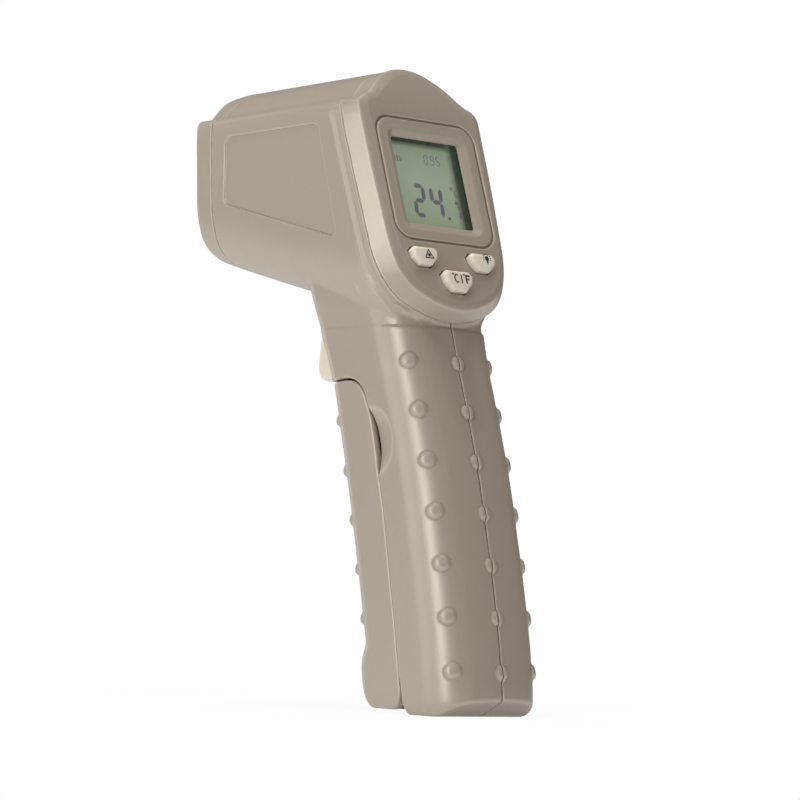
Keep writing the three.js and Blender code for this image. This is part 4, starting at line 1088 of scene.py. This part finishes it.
MATERIALS = {
    "taupe": moulded("taupe_shell", (174, 164, 150), rough=0.34, grain=0.14, grain_mm=0.38,
                     spec=0.8, vary=0.015, painted_edge_shading=0.28, metallic=0.25),
    "cream": moulded("cream_keys", (226, 216, 200), rough=0.38, grain=0.25, vary=0.015,
                     painted_edge_shading=0.15, sub=0.15),
    "window": clear("clear_window"),
    "lcd": display("display_glass"),
    "segment": ink("segment_ink", (100, 96, 108), glow=0.5),
    "faint": ink("segment_faint", (120, 120, 120), glow=0.5),
    "icon": ink("icon_ink", (30, 30, 32)),
    "diffuser": moulded("backlight_plate", (232, 234, 228), rough=0.5, grain=0.2, painted_edge_shading=0,
                        sub=0.3),
    "rubber": moulded("zebra_rubber", (214, 140, 156), rough=0.7, grain=0.6, painted_edge_shading=0),
    "board": circuit("board_green"),
    "chip": moulded("chip_black", (34, 34, 37), rough=0.55, grain=0.8, grain_mm=0.15, painted_edge_shading=0.1),
    "black": moulded("tray_black", (38, 38, 40), rough=0.48, grain=0.6, painted_edge_shading=0.2),
    "brass": metal("brass_tube", (196, 166, 106), rough=0.3),
    "steel": metal("steel_parts", (188, 188, 186), rough=0.26),
    "nickel": metal("nickel_contacts", (206, 204, 196), rough=0.22),
    "lens": moulded("lens_glass", (104, 40, 34), rough=0.12, grain=0.0, spec=0.9, coat=1.0,
                    painted_edge_shading=0, vary=0.1),
    "sleeve": sleeve("battery_sleeve"),
    "red": moulded("wire_red", (178, 44, 38), rough=0.45, grain=0.2, painted_edge_shading=0),
    "blackwire": moulded("wire_black", (36, 36, 38), rough=0.45, grain=0.2, painted_edge_shading=0),
    "grey": moulded("wire_grey", (150, 150, 148), rough=0.5, grain=0.2, painted_edge_shading=0),
}
SLOTS = {  # frame slot named for the pieces made in each material; place_piece looks it up and passes it nowhere
    "taupe": "housing_plastic", "cream": "button_plastic", "icon": "button_plastic",
    "window": "clear_window", "lcd": "lcd_glass", "segment": "lcd_glass", "faint": "lcd_glass",
    "black": "tray_plastic", "brass": "brass_metal", "steel": "steel_metal",
    "nickel": "nickel_contact", "lens": "lens_material", "sleeve": "battery_sleeve",
    "red": "wire_red", "blackwire": "wire_black", "grey": "wire_grey",
}


def paint(ob, material):
    ob.data.materials.clear()
    ob.data.materials.append(MATERIALS[material])


def place_piece(ob, material, node=None, body="housing", slot=None):
    """Paints a piece, hangs it on the empty of the body it rides on and hides the CAD node it
    replaces.
    """
    paint(ob, material)
    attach(ob, body)
    if node:
        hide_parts(node)
    slot or SLOTS[material]


# ---------------------------------------------------------------- pieces from fields
all_solids = {**SOLIDS, **SCREW_SOLIDS}
with ThreadPoolExecutor(4) as pool:
    SURFACES = dict(zip(all_solids, pool.map(mesh_solid, all_solids.values())))

for name, solid in SOLIDS.items():
    points, quads = SURFACES[name]
    ob = dense_object(name + "_skin", turn_rows(points) if solid.panel else points, quads)
    thin(ob, solid.limit)
    store_turn(ob.data, solid)
    store_normals(ob.data, solid)
    place_piece(ob, solid.material, name, solid.body)


def add_screw(kind, number, head, toward, hint):
    """Places a screw by its head's top; the hint turns its recess."""
    points, quads = SURFACES[kind]
    turn = axes_along(head, toward, hint)
    name = f"{kind}_{number}"
    ob = dense_object(name + "_turned", points @ turn.T + np.array(head), quads)
    place_piece(ob, "steel", name)


for i, (y, z) in enumerate(SHELL_SCREWS, 1):
    add_screw("shell_screw", i, (-15.0, y, z), (-14.0, y, z), (0, 1, 0.35 * i))
for i, (x, up) in enumerate(BOARD_SCREWS):
    add_screw("board_screw", i + 1, on_panel(x, up, -11.2), on_panel(x, up, -3.4), (1, 0.3 * i, 0))


# ---------------------------------------------------------------- turned and swept pieces
def light_object(name, points, faces, along=None, smooth=True):
    """Object from millimetre points and mixed faces, with an optional 0..1 'along' value."""
    mesh = bpy.data.meshes.new(name)
    mesh.from_pydata([tuple(point) for point in to_frame(np.array(points))], [], faces)
    mesh.validate()
    work = bmesh.new()
    work.from_mesh(mesh)
    bmesh.ops.recalc_face_normals(work, faces=work.faces)
    work.to_mesh(mesh)
    work.free()
    shade(mesh, smooth)
    if along is not None:
        values = np.array(along, float)
        values = (values - values.min()) / (values.max() - values.min())
        attribute = mesh.attributes.new("along", "FLOAT", "POINT")
        attribute.data.foreach_set("value", values.astype(np.float32))
    return add_object(name, mesh)


def bridge(rings, closed=False):
    """Faces between neighbouring rings of vertex numbers; a ring of one is a pole."""
    faces = []
    for low, high in list(zip(rings, rings[1:])) + ([(rings[-1], rings[0])] if closed else []):
        count = max(len(low), len(high))
        for i in range(count):
            j = (i + 1) % count
            if len(low) == 1:
                faces.append((low[0], high[j], high[i]))
            elif len(high) == 1:
                faces.append((low[i], low[j], high[0]))
            else:
                faces.append((low[i], low[j], high[j], high[i]))
    return faces


def soften(profile, radius, closed):
    """Rounds the corners of a turned profile."""
    profile = [np.array(point, float) for point in profile]
    last = len(profile) - 1
    eased = []
    for i, corner in enumerate(profile):
        if not closed and i in (0, last):
            eased.append(corner)
            continue
        before, after = profile[i - 1], profile[(i + 1) % len(profile)]
        in_length, out_length = np.linalg.norm(before - corner), np.linalg.norm(after - corner)
        reach = min(radius, in_length * 0.4, out_length * 0.4)
        start = corner + (before - corner) / in_length * reach
        end = corner + (after - corner) / out_length * reach
        for t in (0, 0.25, 0.5, 0.75, 1):
            eased.append((1 - t) ** 2 * start + 2 * t * (1 - t) * corner + t * t * end)
    return eased


def lathe(node, suffix, material, profile, start, toward, segments, rounding,
          closed=False, slot=None):
    """Turned piece from (radius, height) points; an open profile starts and ends on the axis."""
    start = np.array(start, float)
    axes = axes_along(start, toward)
    points, along, rings = [], [], []
    for radius, height in soften(profile, rounding, closed):
        angles = [0.0] if radius < 1e-6 else full_turn(segments)
        rings.append(list(range(len(points), len(points) + len(angles))))
        for a in angles:
            local = np.array([radius * math.cos(a), radius * math.sin(a), height])
            points.append(start + axes @ local)
            along.append(height)
    ob = light_object(node + suffix, points, bridge(rings, closed), along)
    place_piece(ob, material, node, slot=slot)


def sweep(node, suffix, material, path, radius, sides=12):
    """Round wire along a path, with pointed ends."""
    path = [np.array(point, float) for point in path]
    tangents = []
    for i in range(len(path)):
        tangent = path[min(i + 1, len(path) - 1)] - path[max(i - 1, 0)]
        tangents.append(tangent / np.linalg.norm(tangent))
    normal = np.cross(tangents[0], (0.3, 0.5, 0.81))
    points = [path[0] - tangents[0] * radius * 0.35]
    rings = [[0]]
    for centre, tangent in zip(path, tangents):
        normal = normal - tangent * (normal @ tangent)
        normal /= np.linalg.norm(normal)
        across = np.cross(tangent, normal)
        rings.append(list(range(len(points), len(points) + sides)))
        for a in full_turn(sides):
            points.append(centre + radius * (math.cos(a) * normal + math.sin(a) * across))
    rings.append([len(points)])
    points.append(path[-1] + tangents[-1] * radius * 0.35)
    ob = light_object(node + suffix, points, bridge(rings))
    place_piece(ob, material, node)
    return ob


COIL_WIRE = 0.35  # radius


def coil(node, material, start, end, radius, turns):
    """Compression spring with closed end turns."""
    start, end = np.array(start, float), np.array(end, float)
    axes = axes_along(start, end)
    flat = 0.8  # turns at each end wound close
    pitch = COIL_WIRE * 2.2
    rise = np.linalg.norm(end - start) - 2 * COIL_WIRE
    steps = int(turns * (28))
    path = []
    for i in range(steps + 1):
        turn = turns * i / steps
        if turn < flat:
            height = pitch * turn
        elif turn > turns - flat:
            height = rise - pitch * (turns - turn)
        else:
            share = (turn - flat) / (turns - 2 * flat)
            height = pitch * flat + (rise - 2 * pitch * flat) * share
        a = 2 * math.pi * turn
        local = np.array([radius * math.cos(a), radius * math.sin(a), COIL_WIRE + height])
        path.append(start + axes @ local)
    return sweep(node, "_coil", material, path, COIL_WIRE)


CELL_LEAN = math.radians(13.24)
CELL_X = 5.55


def in_tray(x, rear, up):
    """A point given across, rearwards and up along the batteries."""
    sine, cosine = math.sin(CELL_LEAN), math.cos(CELL_LEAN)
    return (x, -1.9 + rear * cosine - up * sine, -88.5 + rear * sine + up * cosine)


# (radius, height) from the flat end to the button end
CELL_PROFILE = [
    (0, -22.25), (3.6, -22.25), (3.75, -22.0), (4.65, -22.0), (5.25, -21.5), (5.25, 20.7),
    (4.6, 21.2), (4.2, 20.9), (2.3, 20.95), (2.1, 22.25), (0, 22.25)]
for name, side in (("battery_1", 1), ("battery_2", -1)):  # the second cell is upside down
    lathe(name, "_cell", "sleeve", CELL_PROFILE, in_tray(side * CELL_X, 0, side * 1.4),
          in_tray(side * CELL_X, 0, side * 1.4 + side), 72, 0.35)

coil("contact_spring_top", "nickel", in_tray(-CELL_X, 0, 26.7), in_tray(-CELL_X, 0, 21.35),
     radius=3.0, turns=3.6)
coil("contact_spring_bottom", "nickel", in_tray(CELL_X, 0, -25.85), in_tray(CELL_X, 0, -21.35),
     radius=3.0, turns=3.4)
spring_seat = (0, -16.5, SPRING_Z)
spring = coil("trigger_spring", "steel", (0, -32.2, SPRING_Z), spring_seat, radius=2.5, turns=6.5)
tuple(to_frame(spring_seat))
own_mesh(spring)


def pin(node, radius, half_length, pivot, segments, rounding):
    """Round pin along x through a (y, z) pivot."""
    profile = [(0, 0), (radius, 0), (radius, 2 * half_length), (0, 2 * half_length)]
    lathe(node, "_turned", "steel", profile, (-half_length, *pivot), (half_length, *pivot),
          segments, rounding)


pin("trigger_pin", 1.2, 11.2, TRIGGER_PIVOT, 40, 0.25)
pin("door_hinge_pin", 0.8, 11.7, DOOR_PIVOT, 36, 0.2)

# Pieces along y: node, suffix, material, y of the front, axis, segments, rounding, closed,
# slot where it isn't the material's own, (radius, height) profile rearwards.
BORE_PIECES = [
    ("sensor_tube", "_turned", "brass", -62.5, SENSOR_AXIS, 96, 0.2, True, None,
     [(4.1, 0), (7.1, 0), (7.1, 9.5), (7.5, 9.5), (7.5, 21.5), (4.9, 21.5), (4.9, 19.5),
      (4.1, 17.5)]),
    ("infrared_lens", "_turned", "lens", -64.0, SENSOR_AXIS, 96, 0.12, False, None,
     [(0, -0.5), (1.3, -0.44), (2.5, -0.27), (3.8, -0.14), (5.2, 0), (5.2, 0.9), (2.5, 1.1),
      (0, 1.2)]),
    ("lens_ring", "_turned", "black", -64.4, SENSOR_AXIS, 96, 0.18, True, None,
     [(5.5, 0), (6.9, 0), (6.9, 1.6), (5.5, 1.6)]),
    ("thermopile_sensor", "_can", "nickel", -44.6, SENSOR_AXIS, 72, 0.2, False, "steel_metal",
     [(0, 0), (1.3, 0.0), (3.6, 0), (3.6, 2.6), (4.5, 2.6), (4.5, 3.2), (0, 3.2)]),
    ("laser_module", "_turned", "brass", -63.6, LASER_AXIS, 72, 0.15, False, None,
     [(0, 0.8), (1.2, 0.8), (1.2, 0), (3.0, 0), (3.0, 2.4), (3.9, 2.4), (3.9, 12.5), (0, 12.5)]),
]
for node, suffix, material, y, (x, z), segments, rounding, closed, slot, profile in BORE_PIECES:
    lathe(node, suffix, material, profile, (x, y, z), (x, 0, z), segments, rounding, closed, slot)


def battery_lead(side):
    """Path from the top of the battery tray to the main board."""
    return [in_tray(side * 4.0, 8.2, 28.6), (side * 5.5, 3.5, -54), (side * 6.5, 2.5, -42),
            (side * 6, -4.0, -31), on_panel(side * 6, -27.0, -11.3),
            on_panel(side * 6, -25.2, -9.9)]


WIRES = [  # node, material, radius, path
    ("battery_wire_red", "red", 0.55, battery_lead(-1)),
    ("battery_wire_black", "blackwire", 0.55, battery_lead(1)),
    ("trigger_wire", "grey", 0.55,
     [(0, -14.3, -31), (0, -10.5, -30.5), (0, -8, -28), on_panel(0, -24, -12.5),
      on_panel(0, -22.8, -9.95)]),
    ("laser_wire", "red", 0.55,
     [(0, -50.6, 13.5), (0, -44, 14.5), (1, -32, 12.5), (2, -23, 10.5), on_panel(3, 10, -14),
      on_panel(3, 10, -10.0)]),
    ("sensor_cable", "grey", 0.8,
     [(0, -38.8, -1), (0, -33, -2), (-1, -24, -1), (-2, -16, 0), on_panel(-3, -9.5, -14.5),
      on_panel(-3, -9.5, -10.0)]),
]


# The red battery lead is the only one whose first free points are listed from the tray.
for node, material, radius, path in WIRES:
    sweep(node, "_run", material, spline(path, 12, False), radius, 14)


# ---------------------------------------------------------------- window and display glass
def stack(points, faces, levels):
    """Adds a closed plate made of (outline, out) levels."""
    rings = []
    for loop, out in levels:
        rings.append(list(range(len(points), len(points) + len(loop))))
        points += [on_panel(x, up, out) for x, up in loop]
    faces += bridge(rings)
    faces.append(tuple(rings[0])[::-1])
    faces.append(tuple(rings[-1]))


def round_rect(half_width, half_height, radius):
    """Rounded rectangle, anticlockwise, with seven points to a corner."""
    loop = []
    for sign_x, sign_up, first in ((1, 1, 0), (-1, 1, 90), (-1, -1, 180), (1, -1, 270)):
        centre = (sign_x * (half_width - radius), sign_up * (half_height - radius))
        loop += oval(centre, radius, radius, [math.radians(first + 90 * i / 6) for i in range(7)])
    return loop


def inset(loop, amount):
    """An anticlockwise outline moved inwards."""
    def edge_normals(edges):
        inward = np.stack([-edges[:, 1], edges[:, 0]], 1)
        return inward / np.linalg.norm(edges, axis=1)[:, None]

    mitre = edge_normals(loop - np.roll(loop, 1, 0)) + edge_normals(np.roll(loop, -1, 0) - loop)
    return loop + mitre * (2 * amount / np.maximum((mitre * mitre).sum(1), 1.2))[:, None]


def glass(node, suffix, material, outline, low, high, bevel):
    """Plate between two depths with both rims eased."""
    loop = np.array(outline, float)
    inner = inset(loop, bevel)
    points, faces = [], []
    stack(points, faces, [(inner, low), (loop, low + bevel), (loop, high - bevel), (inner, high)])
    place_piece(light_object(node + suffix, points, faces, smooth=False), material, node)


glass("display_window", "_pane", "window", round_rect(12.0, 12.6, 0.6),
      low=-2.35, high=-1.65, bevel=0.08)
glass("lcd_panel", "_glass", "lcd", round_rect(13.3, 14.2, 0.25),
      low=-4.75, high=LCD_FACE, bevel=0.12)


# ---------------------------------------------------------------- printed marks
def print_marks(name, outlines, low, high, material, body="housing"):
    """Thin closed plates on the panel, as one object."""
    points, faces = [], []
    for outline in outlines:
        loop = np.array(outline, float)
        x, up = loop[:, 0], loop[:, 1]
        if (x * np.roll(up, -1) - np.roll(x, -1) * up).sum() < 0:
            loop = loop[::-1]
        stack(points, faces, [(loop, low), (loop, high)])
    place_piece(light_object(name, points, faces, smooth=False), material, body=body)


def stroke(points, width, closed=False):
    """A quad for each straight run and a round plate at each joint."""
    points = [np.array(point, float) for point in points]
    runs = list(zip(points, points[1:])) + ([(points[-1], points[0])] if closed else [])
    plates = []
    for start, end in runs:
        run = (end - start) / np.linalg.norm(end - start)
        side = np.array([-run[1], run[0]]) * width / 2
        plates.append([start + side, start - side, end - side, end + side])
    for joint in points if closed else points[1:-1]:
        plates.append(oval(joint, width / 2, width / 2, full_turn(10)))
    return plates


def rays(centre, inner, outer, angles, width):
    """Short strokes from an inner to an outer oval, each given by its half sizes."""
    return [plate for pair in zip(oval(centre, *inner, angles), oval(centre, *outer, angles))
            for plate in stroke(pair, width)]


def rectangle(left, right, bottom, top):
    return [(left, bottom), (right, bottom), (right, top), (left, top)]


def letter_c(centre, half_width, half_height, gap):
    """Stroked arc, open by the angle gap on either side of its middle right."""
    arc = np.linspace(gap, 2 * math.pi - gap, 14)
    return stroke(oval(centre, half_width, half_height, arc), 0.3)


def put(plates, x, up, scale=1.0):
    """Moves marks to the panel, where reading runs towards -X."""
    return [[(x - point[0] * scale, up + point[1] * scale) for point in plate]
            for plate in plates]


LIT_SEGMENTS = {"0": "abcdef", "1": "bc", "2": "abged", "3": "abgcd", "4": "fgbc",
                "5": "afgcd", "6": "afgedc", "7": "abc", "8": "abcdefg", "9": "abcdfg"}


def seven_segment(digit, width, height, bar, slant=0.06):
    """Seven-segment figure, origin at its lower left."""
    gap = bar * 0.12
    half, half_bar = height / 2, bar / 2

    def level(y):
        left, right = gap + bar, width - bar - gap
        return [(left - half_bar, y), (left, y + half_bar), (right, y + half_bar),
                (right + half_bar, y), (right, y - half_bar), (left, y - half_bar)]

    def upright(x, bottom, top):
        low, high = bottom + gap, top - gap
        return [(x, low), (x + half_bar, low + half_bar), (x + half_bar, high - half_bar),
                (x, high), (x - half_bar, high - half_bar), (x - half_bar, low + half_bar)]

    right, top = width - half_bar, height - half_bar
    segments = {
        "a": level(top), "g": level(half), "d": level(half_bar),
        "b": upright(right, half, top), "c": upright(right, half_bar, half),
        "f": upright(half_bar, half, top), "e": upright(half_bar, half_bar, half),
    }
    return [[(x + slant * y, y) for x, y in segments[key]] for key in LIT_SEGMENTS[digit]]


def main_reading():
    """24.7 with a degree sign and a C."""
    marks = put(seven_segment("2", 3.9, 8.8, 1.1), 5.9, -8.6)
    marks += put(seven_segment("4", 3.9, 8.6, 1.1), 0.6, -8.4)
    marks += put([rectangle(0, 0.75, 0, 0.75)], -4.25, -8.4)
    marks += put(seven_segment("7", 2.5, 5.2, 0.85), -6.3, -8.4)
    marks += put(stroke(oval((0, 0), 0.35, 0.35, full_turn(12)), 0.22, True), -7.0, 0.1)
    return marks + put(letter_c((0, 0), 1.0, 1.15, gap=0.8), -8.6, -1.1, 0.74)


def small_figures():
    """Small 0.95 and a battery symbol along the top."""
    base = 5.7
    marks = []
    for i, digit in enumerate("095"):
        x = -0.1 - i * 1.75 - (0.25 if i else 0)
        marks += put(seven_segment(digit, 1.25, 2.6, 0.3), x, base)
    marks += put([rectangle(0, 0.3, 0, 0.3)], -1.62, base)
    bars = [rectangle(left, left + 0.45, 0, 1.5) for left in (0, 0.75, 1.5)]
    return marks + put(bars + [rectangle(2.1, 2.4, 0.4, 1.1)], 9.1, 5.6)


def laser_icon():
    """Triangle round a dot with eight rays."""
    centre = (0, -0.22)
    marks = stroke([(-1.25, -0.95), (1.25, -0.95), (0, 1.2)], 0.26, True)
    marks += [oval(centre, 0.42, 0.42, full_turn(14))]
    return marks + rays(centre, (0.4, 0.4), (0.68, 0.62), full_turn(8), 0.09)


def backlight_icon():
    """Bulb with its cap and nine rays."""
    centre = (0, 0.25)
    marks = [oval(centre, 0.5, 0.55, full_turn(18)),
             [(-0.24, -0.3), (0.24, -0.3), (0.2, -0.75), (-0.2, -0.75)],
             [(-0.16, -0.82), (0.16, -0.82), (0.12, -1.0), (-0.12, -1.0)]]
    fan = np.linspace(-0.35, math.pi + 0.35, 9)
    return marks + rays(centre, (0.78, 0.82), (1.12, 1.15), fan, 0.14)


def unit_icon():
    """Degrees C, a bar, degrees F."""
    def degree(x):
        return stroke(oval((x, 1.95), 0.2, 0.2, full_turn(10)), 0.13, True)

    marks = degree(0.0) + letter_c((0.87, 0.95), 0.55, 0.88, gap=0.85)
    marks += stroke([(2.15, -0.05), (2.15, 1.9)], 0.32)
    marks += degree(2.95) + stroke([(3.45, -0.05), (3.45, 1.9)], 0.32)
    marks += stroke([(3.35, 1.76), (4.5, 1.76)], 0.32)
    return marks + stroke([(3.35, 0.95), (4.25, 0.95)], 0.28)


print_marks("lcd_segments", main_reading(), -2.645, -2.6, "segment")
print_marks("lcd_small_figures", small_figures(), -2.645, -2.6, "faint")
print_marks("laser_icon", put(laser_icon(), 8.2, -20.4), 1.62, 1.71, "icon", "laser_button")
print_marks("backlight_icon", put(backlight_icon(), -9.75, -20.0, 1.2), 1.6, 1.71, "icon",
            "backlight_button")
print_marks("unit_icon", put(unit_icon(), 2.0, -26.9, 1.12), 1.61, 1.71, "icon", "unit_button")

# ---------------------------------------------------------------- carried-over CAD pieces
CARRIED = {  # node: material, width of the eased edges
    "backlight_diffuser": ("diffuser", 0.15),
    "zebra_connector": ("rubber", 0.1),
    "main_board": ("board", 0.12),
    "processor_chip": ("chip", 0.18),
    "laser_switch": ("black", 0.15),
    "unit_switch": ("black", 0.15),
    "backlight_switch": ("black", 0.15),
    "sensor_board": ("board", 0.15),
    "trigger_board": ("board", 0.12),
    "trigger_switch": ("black", 0.2),
    "battery_tray": ("black", 0.35),
    "contact_plate_top": ("nickel", 0.12),
    "contact_plate_bottom": ("nickel", 0.12),
}
for name, (material, width) in CARRIED.items():
    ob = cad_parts[name]
    paint(ob, material)
    bevel = ob.modifiers.new("eased_edges", "BEVEL")
    bevel.width = width / 1000
    bevel.segments = 2
    bevel.limit_method = "ANGLE"
    bevel.angle_limit = math.radians(35)

# ---------------------------------------------------------------- floor and world
scene = bpy.context.scene


def floor_material():
    """White floor; to the camera it fades into the backdrop away from the foot."""
    shader = new_shader("floor_white")
    lit = shader.add("BsdfPrincipled", {"Base Color": (0.9, 0.9, 0.9, 1), "Roughness": 0.7})
    glow = shader.add("Emission", {"Strength": 1.0})
    camera_ray = shader.add("LightPath", output="Is Camera Ray")
    distance = shader.add("VectorMath", {0: shader.place}, "Value", operation="LENGTH")
    fade = shader.remap(distance, (0.02, 0.12), (0.93, 1.0))
    seen = shader.add("Math", {0: camera_ray, 1: fade}, operation="MULTIPLY")
    share = shader.add("Math", {0: seen, 1: 0.29}, operation="MAXIMUM")
    return shader.finish(shader.add("MixShader", {0: share, 1: lit, 2: glow}))


floor_mesh = bpy.data.meshes.new("studio_floor")
floor_mesh.from_pydata([(-4, -4, 0), (4, -4, 0), (4, 4, 0), (-4, 4, 0)], [], [(0, 1, 2, 3)])
add_object("studio_floor", floor_mesh)
floor_mesh.materials.append(floor_material())

# the camera sees a white backdrop, the object a dim warm surround
scene.world = bpy.data.worlds.new("studio_world")
shader = Shader(scene.world, "OutputWorld")
camera_ray = shader.add("LightPath", output="Is Camera Ray")
surround = shader.mix(camera_ray, (0.190, 0.160, 0.148, 1), (1.02, 1.02, 1.02, 1))
shader.finish(shader.add("Background", {0: surround}))

scene.view_settings.view_transform = "Standard"
scene.view_settings.look = "None"
scene.view_settings.exposure = 0.0

# ---------------------------------------------------------------- lights
AIM = Vector((0.0, 0.0, 0.085))
# name, direction from the aim, distance (m), width and height (m), power (W), colour,
# seen in reflections
SOFTBOXES = [
    ("key_left", (0.95, -0.35, 0.34), 0.9, (0.6, 0.8), 1.75, (0.99, 1.0, 0.975), True),
    ("strip_camera", (0.90, 0.35, 0.24), 1.0, (0.24, 0.8), 3.4, (0.99, 1.0, 0.98), True),
    ("fill_right", (-0.6, 0.9, 0.25), 1.1, (0.6, 0.8), 0.3, (1.0, 0.86, 0.8), False),
    ("top", (0.1, 0.0, 1.0), 0.9, (0.7, 0.7), 7.5, (0.975, 0.985, 1.0), False),
    ("front_fill", (0.1, -1.0, 0.25), 1.1, (0.7, 0.7), 1.5, (1, 1, 1), True),
    ("far_side", (-1.0, -0.1, 0.35), 1.1, (0.6, 0.8), 0.6, (1, 1, 1), False),
]
for name, direction, distance, (width, height), power, color, mirrored_light in SOFTBOXES:
    direction = Vector(direction).normalized()
    light = bpy.data.lights.new(name, "AREA")
    light.shape = "RECTANGLE"
    light.size = width
    light.size_y = height
    light.energy = power
    light.color = color
    light.specular_factor = 1.0 if mirrored_light else 0.0
    ob = add_object(name, light)
    ob.visible_glossy = mirrored_light
    ob.location = AIM + direction * distance
    ob.rotation_euler = (-direction).to_track_quat("-Z", "Y").to_euler()

# ---------------------------------------------------------------- camera
CAMERA_RIGHT = (-0.77252, 0.63404, 0.03460)
CAMERA_UP = (0.06661, 0.02672, 0.99742)
CAMERA_BACK = (0.63148, 0.77284, -0.06288)
CAMERA_PLACE = (470.60, 565.56, -98.46)

lens = bpy.data.cameras.new("camera")
camera = add_object("camera", lens)
pose = Matrix((CAMERA_RIGHT, CAMERA_UP, CAMERA_BACK)).transposed().to_4x4()
pose.translation = Vector([float(c) for c in to_frame(CAMERA_PLACE)])
camera.matrix_world = pose
lens.sensor_width = 36.0
lens.sensor_fit = "HORIZONTAL"
lens.lens = 140.6961
lens.clip_start = 0.01
lens.clip_end = 20
scene.camera = camera

bpy.context.view_layer.update()
